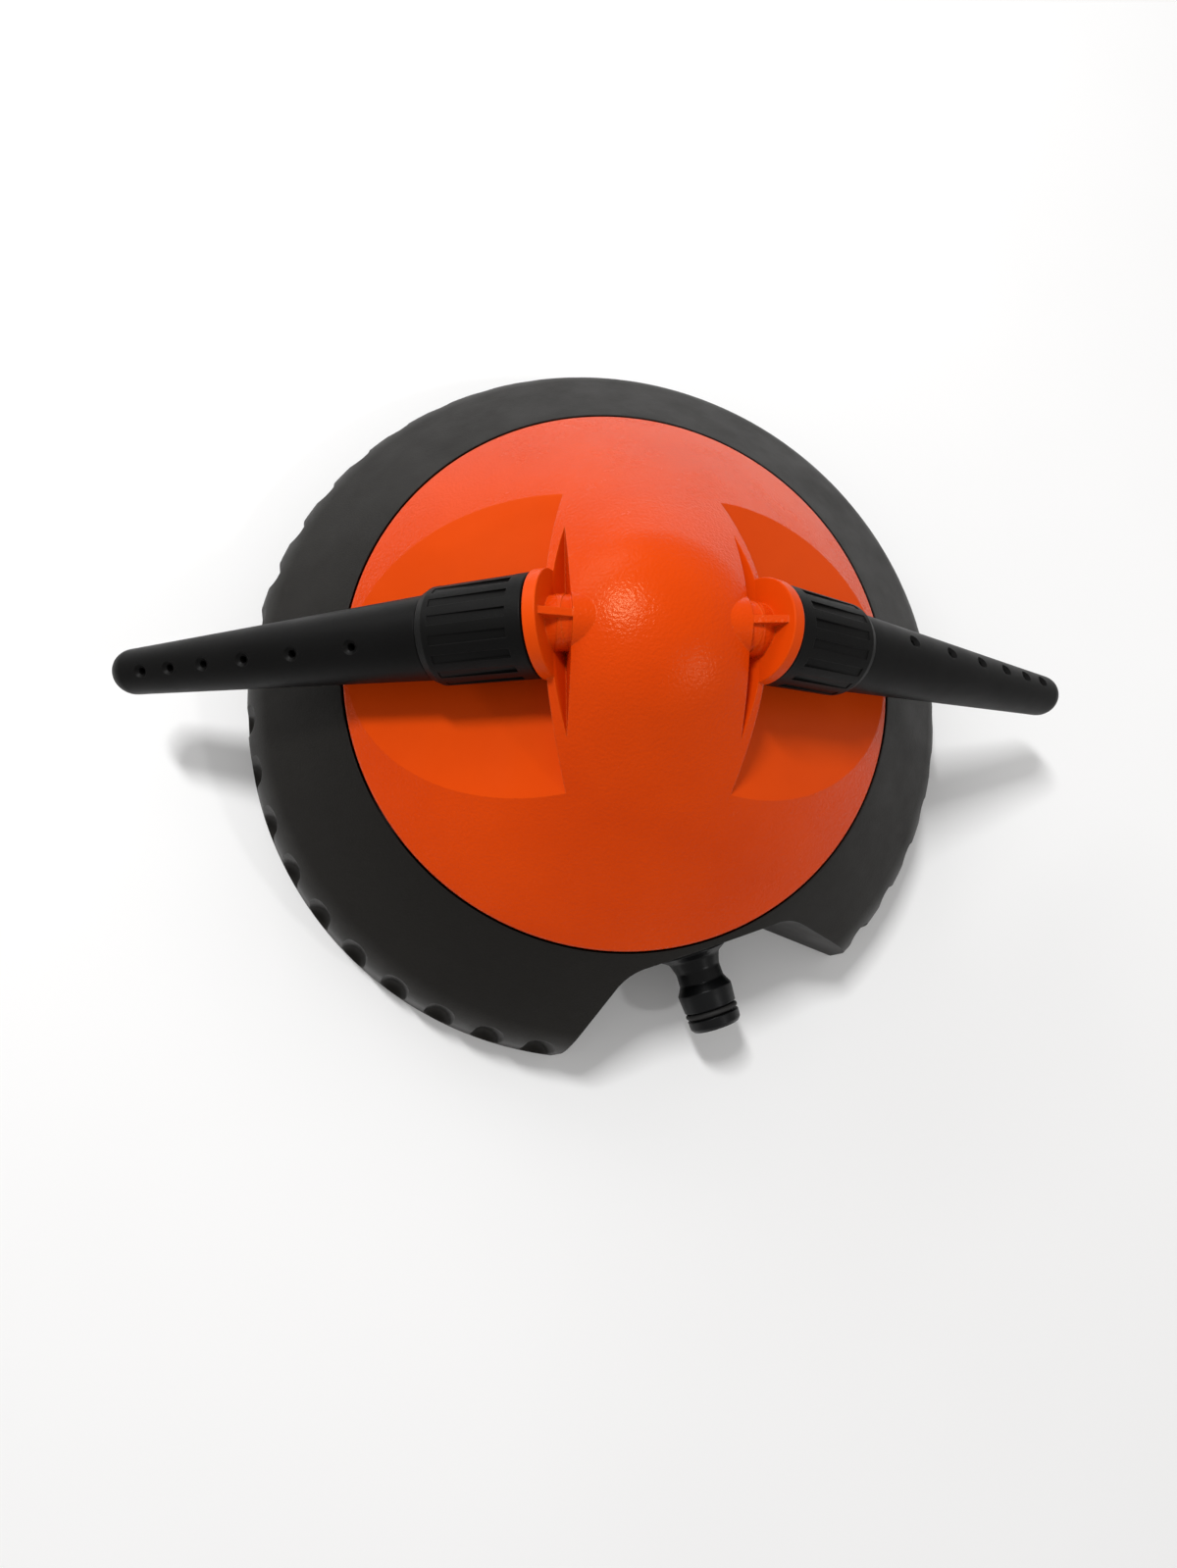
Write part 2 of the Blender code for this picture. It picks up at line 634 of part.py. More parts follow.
def web_prism(name, side):
    """Thin web from the ridge's flank to the socket plate, over the water tube."""
    low = 93 * MM
    start = RIDGE_HALF - 0.5 * MM
    bite = FLANGE_BACK_AT + 1.5 * MM
    outline = [(start, low), (start, WEB_TOP)]
    outline += [(plate_x(WEB_END_TOP, bite), WEB_END_TOP), (plate_x(low, bite), low)]
    points = [Vector((side * x, -WEB_HALF, z)) for x, z in outline]
    return place_cutter(prism(name, points, Vector((0, 2 * WEB_HALF, 0))), rotor_axis)


def tunnel_rods(label, side, axis):
    """Cover over the water tube, from the ridge's flank to the back of the flange."""
    bend = arm_point(CROSS_TUBE_Z).x
    along = (bend - ARM_X) / math.cos(ARM_DROOP)
    level = rod(f"tunnel_level_{label}", TUNNEL_RADIUS, RIDGE_HALF - 1 * MM, bend + TUNNEL_LAP)
    place_cutter(level, rotor_axis, (0, 0, CROSS_TUBE_Z), (0, side * QUARTER_TURN, 0))
    sloped = rod(f"tunnel_sloped_{label}", TUNNEL_RADIUS, along - TUNNEL_LAP, FLANGE_BACK_AT + 1 * MM)
    return [level, place_cutter(sloped, axis)]


def pocket_block(name, floor, wall_at, axis):
    """The space above the pocket's floor and outboard of its wall, in the arm's own frame."""
    low = (-60 * MM, -75 * MM, wall_at)
    high = (floor, 75 * MM, 90 * MM)
    return place_cutter(block(name, low, high), axis)


def make_rotor_dome():
    """Dome with a pocket, a slot, a flange, a web and a tube cover for each arm."""
    rim = [(DOME_RADIUS, DOME_RIM_Z - 0.8 * MM), (DOME_RADIUS - 0.3 * MM, DOME_LIP_Z), (0, DOME_LIP_Z)]
    dome = turned("rotor_dome", dome_profile(0, DOME_RADIUS, 6, 4) + rim, FINE_STEPS, ring=False)
    place(dome, rotor_axis)

    below = DOME_LIP_Z - 1 * MM
    inside = dome_profile(DOME_WALL, DOME_RADIUS - 1 * MM, 4, 2) + [(DOME_LIP_INNER, below), (0, below)]
    cavity = place_cutter(turned("cavity_cutter", inside, FINE_STEPS, ring=False), rotor_axis)
    bump = rod("bump", BUMP_RADIUS, -RIDGE_HALF - 1.5 * MM, RIDGE_HALF + 1.5 * MM)
    place_cutter(bump, rotor_axis, (0, 0, CROSS_TUBE_Z), (0, QUARTER_TURN, 0))
    pockets = []
    flanges = []
    slots = []
    webs = []
    for label, side, axis in (("right", 1, right_axis), ("left", -1, left_axis)):
        pockets.append(pocket_block(f"pocket_{label}", POCKET_FLOOR, POCKET_WALL_AT, axis))
        flange = rod(f"flange_{label}", FLANGE_RADIUS, FLANGE_BACK_AT, FLANGE_FACE_AT, DISC_STEPS)
        flanges.append(place_cutter(flange, axis))
        slots.append(slot_prism(f"slot_{label}", 0, side))
        webs.append(web_prism(f"web_{label}", side))
        webs += tunnel_rods(label, side, axis)
        under_slot = slot_prism(f"under_slot_{label}", DOME_WALL, side)
        under_wall = PLATE_BACK_AT - DOME_WALL
        under = pocket_block(f"under_pocket_{label}", POCKET_FLOOR + DOME_WALL, under_wall, axis)
        cut(cavity, under_slot, under)
    pilots = []
    for index, y in enumerate((-DOME_SCREW_AT, DOME_SCREW_AT)):
        boss = rod(f"dome_boss_{index}", BOSS_RADIUS, LUG_TOP + 0.3 * MM, 120 * MM, SMALL_STEPS)
        cut(cavity, place_cutter(boss, rotor_axis, (0, y, 0)))
        pilot = rod(f"dome_pilot_{index}", PILOT_RADIUS, 85 * MM, 99 * MM, SMALL_STEPS)
        pilots.append(place_cutter(pilot, rotor_axis, (0, y, 0)))
    tube_hole = bent_tube("tube_hole", SPIGOT_RADIUS + SPIGOT_CLEARANCE, -25 * MM, ROUND_STEPS)

    cut(dome, *pockets)
    join(dome, bump)
    cut(dome, *slots)
    join(dome, *flanges, *webs)
    cut(dome, cavity, place_cutter(tube_hole, rotor_axis), *pilots)
    return finish(dome, "orange_plastic")


def make_water_manifold():
    """Hub with a chamber round the spindle's head, a cross tube, and a spigot for each arm."""
    hub = rod("water_manifold", ROTOR_HUB_RADIUS, ROTOR_HUB_BOTTOM, ROTOR_HUB_TOP)
    manifold = place(hub, rotor_axis)
    tube = bent_tube("manifold_tube", SPIGOT_RADIUS, SPIGOT_END, 20)
    lug_reach = DOME_SCREW_AT + 4.5 * MM
    lugs = block("lugs", (-5 * MM, -lug_reach, LUG_BOTTOM), (5 * MM, lug_reach, LUG_TOP))
    join(manifold, place_cutter(tube, rotor_axis), place_cutter(lugs, rotor_axis))
    for label, axis in (("right", right_axis), ("left", left_axis)):
        ridge = rod(f"spigot_ridge_{label}", SPIGOT_RIDGE, -26.3 * MM, -24.3 * MM)
        join(manifold, place_cutter(ridge, axis))
    for label, axis in (("right", right_axis), ("left", left_axis)):
        low = ARM_SEAL_AT - 1.05 * MM
        high = ARM_SEAL_AT + 1.05 * MM
        groove = washer(f"spigot_groove_{label}", SPIGOT_GROOVE, 8 * MM, low, high)
        cut(manifold, place_cutter(groove, axis))
    nut_room = rod("nut_room", 10.3 * MM, 55 * MM, BEARING_TOP + 0.2 * MM)
    chamber = rod("chamber", CHAMBER_RADIUS, 55 * MM, CHAMBER_TOP)
    neck = rod("chamber_neck", 5 * MM, 90 * MM, CROSS_TUBE_Z - 1 * MM, 16)
    way = bent_tube("water_way", SPIGOT_BORE, SPIGOT_END + 2 * MM, 16)
    cut(manifold, place_cutter(nut_room, rotor_axis), place_cutter(chamber, rotor_axis))
    cut(manifold, place_cutter(neck, rotor_axis), place_cutter(way, rotor_axis))
    for index, y in enumerate((-DOME_SCREW_AT, DOME_SCREW_AT)):
        hole = rod(f"lug_hole_{index}", PILOT_RADIUS, 80 * MM, 95 * MM, SMALL_STEPS)
        cut(manifold, place_cutter(hole, rotor_axis, (0, y, 0)))
    return finish(manifold, "orange_plastic")


def make_rotor_bearing():
    """Nut that holds the rotor on the spindle, its seal, and the washer under the head."""
    seal_half = 1.3 * MM
    outline = [(BEARING_BORE, BEARING_TOP), (10 * MM, BEARING_TOP), (10 * MM, 62 * MM)]
    outline += [(13 * MM, 62 * MM), (13 * MM, BEARING_BOTTOM), (BEARING_BORE, BEARING_BOTTOM)]
    outline += [(BEARING_BORE, SEAL_AT - seal_half), (CHAMBER_RADIUS, SEAL_AT - seal_half)]
    outline += [(CHAMBER_RADIUS, SEAL_AT + seal_half), (BEARING_BORE, SEAL_AT + seal_half)]
    finish(place(turned("bearing_nut", outline), rotor_axis), "black_plastic")
    seal = turned("spindle_seal", ring_section(7.35 * MM, SEAL_AT))
    finish(place(seal, rotor_axis), "rubber")
    thrust = washer("thrust_washer", BEARING_BORE, 7.9 * MM, BEARING_TOP + 0.3 * MM, 74.9 * MM)
    finish(place(thrust, rotor_axis), "washer_nylon")


def make_dome_screws():
    low = {"location": (0, -DOME_SCREW_AT, DOME_SCREW_Z)}
    first = place(screw_shape("dome_screw_1", DOME_SCREW_LENGTH), rotor_axis, **low)
    finish(first, "screw_steel")
    copied(first, "dome_screw_2", rotor_axis, (0, DOME_SCREW_AT, DOME_SCREW_Z))


def jet_cutters():
    """A drilled jet in a small dish, at places that draw closer towards the tip."""
    matrices = []
    along = JET_FIRST
    pitch = JET_PITCH
    taper = (ARM_RADIUS - TIP_RADIUS) / TIP_CENTRE
    lean = Matrix.Rotation(math.pi - JET_LEAN, 4, "Z") @ Matrix.Rotation(QUARTER_TURN, 4, "Y")
    for _ in range(JET_COUNT):
        surface = ARM_RADIUS - taper * along
        outward = Matrix.Translation((0, 0, surface))
        matrices.append(Matrix.Translation((0, 0, along)) @ lean @ outward)
        along += pitch
        pitch *= JET_PITCH_RATIO
    outline = [(0, 2 * MM), (JET_DISH_RADIUS, 2 * MM), (JET_DISH_RADIUS, 0.1 * MM)]
    outline += [(JET_RADIUS, -JET_DISH_DEPTH), (JET_RADIUS, -4 * MM), (0, -4 * MM)]
    return gathered("jet_cutters", turned("jet", outline, 8, ring=False), matrices)


def make_arms():
    """Each arm is a hollow tube with a closed round tip, a ribbed collar and an O-ring."""
    tip = arc((0, TIP_CENTRE), TIP_RADIUS, 90, 3.5, 5)
    tip[0] = (0, TIP_CENTRE + TIP_RADIUS)
    outside = [(ARM_RADIUS, 0), (SLEEVE_RADIUS, 0), (SLEEVE_RADIUS, SLEEVE_START)]
    bore = SPIGOT_RADIUS + SPIGOT_CLEARANCE
    inside = [(bore, SLEEVE_START), (bore, -6 * MM), (ARM_RADIUS - ARM_WALL, -2 * MM)]
    inside += [(TIP_RADIUS - ARM_WALL, TIP_CENTRE), (0, TIP_CENTRE + 2 * MM)]
    right_tube = place(turned("arm_tube_right", tip + outside + inside, ring=False), right_axis)
    cut(right_tube, place_cutter(jet_cutters(), right_axis))
    finish(right_tube, "arm_plastic")

    outline = [(COLLAR_BORE, COLLAR_END), (12 * MM, COLLAR_END), (12.7 * MM, -1.2 * MM)]
    outline += [(COLLAR_OUTER_RADIUS, -2.8 * MM), (COLLAR_RADIUS, COLLAR_START + 0.5 * MM)]
    outline += [(COLLAR_RADIUS - 0.5 * MM, COLLAR_START), (6.5 * MM, COLLAR_START)]
    outline += [(6.5 * MM, COLLAR_START + COLLAR_LIP), (COLLAR_BORE, COLLAR_START + COLLAR_LIP)]
    right_collar = place(turned("arm_collar_right", outline, 2 * FLUTE_COUNT), right_axis)
    low = (FLUTE_FLOOR, -FLUTE_HALF, FLUTE_START)
    high = (COLLAR_RADIUS + 1 * MM, FLUTE_HALF, FLUTE_END)
    turns = [Matrix.Rotation(2 * math.pi * i / FLUTE_COUNT, 4, "Z") for i in range(FLUTE_COUNT)]
    flutes = gathered("flute_cutters", block("flute", low, high), turns)
    cut(right_collar, place_cutter(flutes, right_axis))
    finish(right_collar, "arm_plastic")

    ring = turned("arm_o_ring_right", ring_section(5.45 * MM, ARM_SEAL_AT))
    right_ring = finish(place(ring, right_axis), "rubber")
    copied(right_tube, "arm_tube_left", left_axis)
    copied(right_collar, "arm_collar_left", left_axis)
    copied(right_ring, "arm_o_ring_left", left_axis)


def axis_empty(name, parent=None, location=(0, 0, 0), rotation=(0, 0, 0)):
    return place(bpy.data.objects.new(name, None), parent, location, rotation)


clear_scene()
parts = new_collection("rotating_sprinkler")
cutters = new_collection("cutters")
materials = make_materials()
rotor_axis = axis_empty("rotor_axis", rotation=(0, 0, REST_TURN))
droop = QUARTER_TURN + ARM_DROOP
right_axis = axis_empty("right_arm_axis", rotor_axis, (ARM_X, 0, ARM_Z), (0, droop, 0))
left_axis = axis_empty("left_arm_axis", rotor_axis, (-ARM_X, 0, ARM_Z), (0, droop, math.pi))

make_base_shell()
make_hub_cover()
make_cover_screws()
make_inlet_elbow()
make_inlet_fittings()
make_spindle()
make_rotor_dome()
make_water_manifold()
make_rotor_bearing()
make_dome_screws()
make_arms()
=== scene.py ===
"""Looks of a two-arm rotating lawn sprinkler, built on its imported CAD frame. Units are metres.

The visible mouldings are rebuilt at fine resolution in the CAD's own places, the inner pieces keep
their CAD shapes, and every surface gets a node material.
"""

import math

import bmesh
import bpy
from mathutils import Matrix, Vector


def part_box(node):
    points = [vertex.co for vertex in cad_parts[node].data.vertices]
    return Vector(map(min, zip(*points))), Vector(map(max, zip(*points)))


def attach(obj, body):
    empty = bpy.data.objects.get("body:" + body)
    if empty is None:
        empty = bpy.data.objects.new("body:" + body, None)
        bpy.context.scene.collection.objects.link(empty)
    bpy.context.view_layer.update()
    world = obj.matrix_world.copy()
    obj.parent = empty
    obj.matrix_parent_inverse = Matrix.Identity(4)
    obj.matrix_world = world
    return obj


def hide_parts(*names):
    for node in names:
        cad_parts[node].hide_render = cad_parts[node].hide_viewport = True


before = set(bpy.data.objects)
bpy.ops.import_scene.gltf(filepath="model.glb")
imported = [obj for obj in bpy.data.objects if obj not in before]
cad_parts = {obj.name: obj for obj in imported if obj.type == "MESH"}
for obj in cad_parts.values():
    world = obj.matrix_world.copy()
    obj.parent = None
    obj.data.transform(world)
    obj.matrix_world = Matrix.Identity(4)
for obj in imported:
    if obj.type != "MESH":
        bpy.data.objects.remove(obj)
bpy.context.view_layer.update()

MM = 0.001
QUARTER_TURN = math.pi / 2

# Steps round a turned shape, the lap of joined shapes, and tolerances.
FINE = 240
SLEEK = 160
ROUND = 96
SMALL = 40
WELD = 0.002 * MM
LAP = 1 * MM
ON_AXIS = 1e-7
FLAT = 0.999

# Base: one cone, a rounded shoulder and a steep wall.
BASE_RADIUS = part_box("base_shell")[1].x
WALL_DRAFT = math.radians(8)
CONE_ANGLE = math.radians(41.3)
SHOULDER_RADIUS = 24 * MM
BASE_WALL = 4.6 * MM
DRUM_INNER = 83.4 * MM
DRUM_OUTER = 85.9 * MM
DECK_TOP = 36.4 * MM
DECK_BOTTOM = 34 * MM
DECK_HOLE = 11.9 * MM
HUB_OUTER = 29.5 * MM
HUB_INNER = 27 * MM
HUB_BOTTOM = 4.7 * MM
RIB_HALF = 1 * MM
RIB_BOTTOM = 12 * MM
RIB_DEGREES = (30, 90, 150, 210, 330)
NOTCH_BACK = 85.4 * MM
NOTCH_HALF_FLAT = 21.2 * MM
NOTCH_BEND = 15 * MM
NOTCH_SPREAD = math.radians(39.3)
NOTCH_REACH = 60 * MM
NOTCH_WALL = 2.5 * MM
NOTCH_BOTTOM = -5 * MM
NOTCH_RISE = 70 * MM
SCOOP_COUNT = 38
SCOOP_FIRST = math.radians(29.2)
SCOOP_RADIUS = 5.2 * MM
SCOOP_DEPTH = 3.6 * MM
SCOOP_TOP = 28.8 * MM
SCOOP_BOTTOM = 1.2 * MM
SCOOP_STEPS = 48
SCREW_AT = 17.5 * MM
BOSS_RADIUS = 3.8 * MM
PILOT_RADIUS = 1.8 * MM
PILOT_TOP = 22 * MM
INLET_HOLE_RADIUS = 9.8 * MM
INLET_HOLE_START = 15 * MM
INLET_HOLE_END = 95 * MM

# Hose tail, which points along -Y from the notch's flat back.
INLET_Z = 21 * MM
NIPPLE_BORE = 5.2 * MM
NIPPLE_TIP = 26.6 * MM
NIPPLE_SEAL_AT = 21.45 * MM
SEAL_GROOVE_HALF = 1.3 * MM
SEAL_GROOVE_RADIUS = 6.7 * MM
SEAL_RADIUS = 0.75 * MM

# Rotor dome.
DOME_RADIUS = 82.8 * MM
DOME_RIM_Z = 52.8 * MM
DOME_LIP_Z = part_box("rotor_dome")[0].z
DOME_WALL = 2.5 * MM
CROWN_START = 25 * MM
CONE_EASE = 0.74
REST_TURN = math.radians(-17.5)
ARM_DROOP = math.radians(26.34)
ARM_X = 56.8 * MM
ARM_Z = 81.7 * MM
POCKET_FLOOR = 14 * MM
POCKET_WALL_AT = -31.6 * MM
POCKET_UP = 60 * MM
POCKET_SIDE = 75 * MM
POCKET_OUT = 90 * MM
PLATE_BACK_AT = -34.8 * MM
FLANGE_FACE_AT = -30.2 * MM
FLANGE_BACK_AT = -33.7 * MM
FLANGE_RADIUS = 14.1 * MM
TUNNEL_RADIUS = 7.2 * MM
TUNNEL_LAP = 2 * MM
RIDGE_HALF = 23 * MM
LIP_INNER = 80.15 * MM
SLOT_LEAN = math.radians(36)
SLOT_TOP = 125 * MM
SLOT_HALF = 40 * MM
BUMP_RADIUS = 8.4 * MM
CROSS_TUBE_Z = 97.6 * MM
TUBE_RADIUS = 6 * MM
TUBE_HOLE_RADIUS = 6.35 * MM
SPIGOT_STEP = 1.6 * MM
WEB_HALF = 1 * MM
WEB_FOOT = 93 * MM
WEB_TOP = 105.8 * MM
WEB_END_TOP = 107.6 * MM
DOME_SCREW_AT = 20 * MM

# Where the level water tube bends down into an arm, from the spindle and along the arm's axis.
BEND_X = ARM_X - (CROSS_TUBE_Z - ARM_Z) / math.tan(ARM_DROOP)
BEND_ALONG = (BEND_X - ARM_X) / math.cos(ARM_DROOP)

# Water tube inside the dome; spigot places run outward along the arm's axis.
HUB_RADIUS = 14 * MM
HUB_LOW = 62.3 * MM
HUB_TOP = 99 * MM
LUG_HALF_X = 5 * MM
LUG_HALF_Y = 24.5 * MM
LUG_BOTTOM = 88 * MM
LUG_TOP = 91 * MM
LUG_GAP = 0.3 * MM
HUB_CUT_START = 55 * MM
ROOM_RADIUS = 10.3 * MM
ROOM_TOP = 73.5 * MM
CHAMBER_RADIUS = 8.4 * MM
CHAMBER_TOP = 92 * MM
LIP_START = -26.3 * MM
LIP_END = -24.3 * MM
GROOVE_START = -14.05 * MM
GROOVE_END = -11.95 * MM
SPIGOT_END = -8 * MM

# Arms and collars; places run outward along the arm's axis, and the jets lean from straight up.
ARM_RADIUS = 11.3 * MM
ARM_WALL = 2.4 * MM
SHANK_RADIUS = 10.2 * MM
SHANK_START = -23 * MM
TIP_RADIUS = 6.7 * MM
TIP_CENTRE = 96 * MM
JET_LEAN = math.radians(19.5)
JET_COUNT = 6
JET_FIRST = 19.4 * MM
JET_PITCH = 18.5 * MM
JET_PITCH_RATIO = 0.857
COLLAR_RADIUS = 13.6 * MM
COLLAR_OUTER_RADIUS = 13 * MM
COLLAR_START = -29.7 * MM
COLLAR_END = -0.3 * MM
COLLAR_BORE = 10.5 * MM
COLLAR_LIP_BORE = 6.5 * MM
COLLAR_LIP_AT = -27 * MM
FLUTE_COUNT = 16
FLUTE_HALF = 1.25 * MM
FLUTE_DEPTH = 0.2 * MM
FLUTE_START = -25.5 * MM
FLUTE_END = -4.2 * MM


def arc(centre, radius, start, end, count):
    """Points on an arc; the angles are in degrees from the first axis."""
    points = []
    for i in range(count):
        angle = math.radians(start + (end - start) * i / (count - 1))
        points.append((centre[0] + radius * math.cos(angle), centre[1] + radius * math.sin(angle)))
    return points


def rounded(points, radii, count, closed=False):
    """A profile with its corners rounded; radii holds one radius for each point."""
    out = []
    total = len(points)
    for i, (point, radius) in enumerate(zip(points, radii)):
        here = Vector(point)
        if radius <= 0 or (not closed and i in (0, total - 1)):
            out.append(tuple(here))
            continue
        before = Vector(points[i - 1]) - here
        after = Vector(points[(i + 1) % total]) - here
        half = before.angle(after) / 2
        reach = min(radius / math.tan(half), before.length * 0.45, after.length * 0.45)
        start = here + before.normalized() * reach
        end = here + after.normalized() * reach
        for k in range(count):
            t = k / (count - 1)
            out.append(tuple((1 - t) ** 2 * start + 2 * t * (1 - t) * here + t * t * end))
    return out


def new_mesh_object(name, shape):
    mesh = bpy.data.meshes.new(name)
    shape.to_mesh(mesh)
    shape.free()
    obj = bpy.data.objects.new(name, mesh)
    bpy.context.scene.collection.objects.link(obj)
    return obj


def turned(name, profile, steps, closed=True, matrix=Matrix()):
    """(radius, height) points turned about Z into one closed surface."""
    shape = bmesh.new()
    rings = []
    for radius, height in profile:
        if radius < ON_AXIS:
            rings.append([shape.verts.new((0, 0, height))])
            continue
        ring = []
        for k in range(steps):
            angle = 2 * math.pi * k / steps
            ring.append(shape.verts.new((radius * math.cos(angle), radius * math.sin(angle), height)))
        rings.append(ring)
    pairs = list(zip(rings, rings[1:]))
    if closed:
        pairs.append((rings[-1], rings[0]))
    for upper, lower in pairs:
        for k in range(steps):
            after = (k + 1) % steps
            if len(upper) == 1:
                shape.faces.new((upper[0], lower[k], lower[after]))
            elif len(lower) == 1:
                shape.faces.new((upper[k], lower[0], upper[after]))
            else:
                shape.faces.new((upper[k], lower[k], lower[after], upper[after]))
    bmesh.ops.recalc_face_normals(shape, faces=shape.faces)
    bmesh.ops.transform(shape, matrix=matrix, verts=shape.verts)
    return new_mesh_object(name, shape)


def rod(name, radius, low, high, steps, matrix=Matrix()):
    return turned(name, [(0, high), (radius, high), (radius, low), (0, low)], steps, False, matrix)


def block(name, low, high, matrix=Matrix()):
    shape = bmesh.new()
    bmesh.ops.create_cube(shape, size=1)
    bmesh.ops.scale(shape, verts=shape.verts, vec=Vector(high) - Vector(low))
    bmesh.ops.translate(shape, verts=shape.verts, vec=(Vector(high) + Vector(low)) / 2)
    bmesh.ops.transform(shape, matrix=matrix, verts=shape.verts)
    return new_mesh_object(name, shape)


def prism(name, outline, direction, matrix=Matrix()):
    shape = bmesh.new()
    face = shape.faces.new([shape.verts.new(point) for point in outline])
    pushed = bmesh.ops.extrude_face_region(shape, geom=[face])
    moved = [item for item in pushed["geom"] if isinstance(item, bmesh.types.BMVert)]
    bmesh.ops.translate(shape, verts=moved, vec=direction)
    bmesh.ops.recalc_face_normals(shape, faces=shape.faces)
    bmesh.ops.transform(shape, matrix=matrix, verts=shape.verts)
    return new_mesh_object(name, shape)


def gathered(name, source, matrices):
    """Copies of one shape, each moved by a matrix, in one object."""
    group = bmesh.new()
    for matrix in matrices:
        start = len(group.verts)
        group.from_mesh(source.data)
        group.verts.ensure_lookup_table()
        bmesh.ops.transform(group, matrix=matrix, verts=group.verts[start:])
    bpy.data.objects.remove(source)
    return new_mesh_object(name, group)


def combine(obj, cutters, operation):
    """Applies each Boolean at once, drops its cutter, and welds corners closer than a micron or two."""
    for cutter in cutters:
        boolean = obj.modifiers.new("Boolean", "BOOLEAN")
        boolean.operation = operation
        boolean.solver = "EXACT"
        boolean.object = cutter
        bpy.context.view_layer.update()
        graph = bpy.context.evaluated_depsgraph_get()
        mesh = bpy.data.meshes.new_from_object(obj.evaluated_get(graph))
        obj.modifiers.clear()
        shape = bmesh.new()
        shape.from_mesh(mesh)
        bmesh.ops.remove_doubles(shape, verts=shape.verts, dist=WELD)
        bmesh.ops.dissolve_degenerate(shape, edges=shape.edges, dist=WELD)
        shape.to_mesh(mesh)
        shape.free()
        obj.data = mesh
        bpy.data.objects.remove(cutter)


def cut(obj, *cutters):
    combine(obj, cutters, "DIFFERENCE")


def join(obj, *cutters):
    combine(obj, cutters, "UNION")


def shade(obj, sharp_degrees):
    obj.data.shade_smooth()
    obj.data.set_sharp_from_angle(angle=math.radians(sharp_degrees))
    weighted = obj.modifiers.new("WeightedNormal", "WEIGHTED_NORMAL")
    weighted.keep_sharp = True
    weighted.weight = 80


def dress(obj, body, slot, *materials, replaces):
    """Gives a piece its materials and moving body and hides the CAD nodes it stands for; slot is not used.
    """
    obj.data.materials.clear()
    for material in materials:
        obj.data.materials.append(material)
    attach(obj, body)
    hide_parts(*replaces)


# ---------------------------------------------------------------- materials

ORANGE = (0.69, 0.056, 0.0012)
ORANGE_SHADE = (0.63, 0.047, 0.0010)
ORANGE_EDGE = (0.84, 0.13, 0.012)
SMOOTH_ORANGE = (0.72, 0.063, 0.0016)
SMOOTH_SHADE = (0.66, 0.054, 0.0013)
BLACKS = {
    "base_black": ((0.0045, 0.0040, 0.0034), (0.0033, 0.0029, 0.0025), (0.016, 0.015, 0.0135)),
    "arm_black": ((0.0040, 0.0039, 0.0038), (0.0028, 0.0027, 0.0026), (0.012, 0.0116, 0.0112)),
    "collar_black": ((0.0036, 0.0035, 0.0033), (0.0025, 0.0024, 0.0023), (0.010, 0.0097, 0.0093)),
    "inlet_black": ((0.0034, 0.0036, 0.0040), (0.0025, 0.0027, 0.0030), (0.013, 0.0135, 0.0145)),
    "ring_rubber": ((0.012, 0.012, 0.012), (0.020, 0.019, 0.018), (0.03, 0.03, 0.03)),
}
NYLON = ((0.74, 0.72, 0.65), (0.62, 0.60, 0.53), (0.8, 0.79, 0.74))
WARM = (1.0, 0.80, 0.45)


def node_material(name):
    material = bpy.data.materials.new(name)
    material.use_nodes = True
    tree = material.node_tree
    shader = tree.nodes["Principled BSDF"]
    return material, tree, shader


def linked(tree, kind, inputs=None, **properties):
    """A new node with its properties set and its inputs either linked or given a value."""
    node = tree.nodes.new(kind)
    for key, value in properties.items():
        setattr(node, key, value)
    for key, value in (inputs or {}).items():
        socket = node.inputs[key]
        if isinstance(value, bpy.types.NodeSocket):
            tree.links.new(value, socket)
        else:
            socket.default_value = value
    return node


def noise(tree, place, scale, detail, roughness=0.55):
    inputs = {"Vector": place, "Scale": scale, "Detail": detail, "Roughness": roughness}
    node = linked(tree, "ShaderNodeTexNoise", inputs)
    return node.outputs["Fac"]


def ranged(tree, value, low, high, to_low, to_high):
    node = linked(
        tree,
        "ShaderNodeMapRange",
        {"Value": value, "From Min": low, "From Max": high, "To Min": to_low, "To Max": to_high},
    )
    return node.outputs["Result"]


def mixed(tree, factor, first, second):
    node = tree.nodes.new("ShaderNodeMix")
    node.data_type = "RGBA"
    for key, value in ((0, factor), (6, first), (7, second)):
        if isinstance(value, bpy.types.NodeSocket):
            tree.links.new(value, node.inputs[key])
        else:
            node.inputs[key].default_value = value if key == 0 else (*value, 1.0)
    return node.outputs[2]


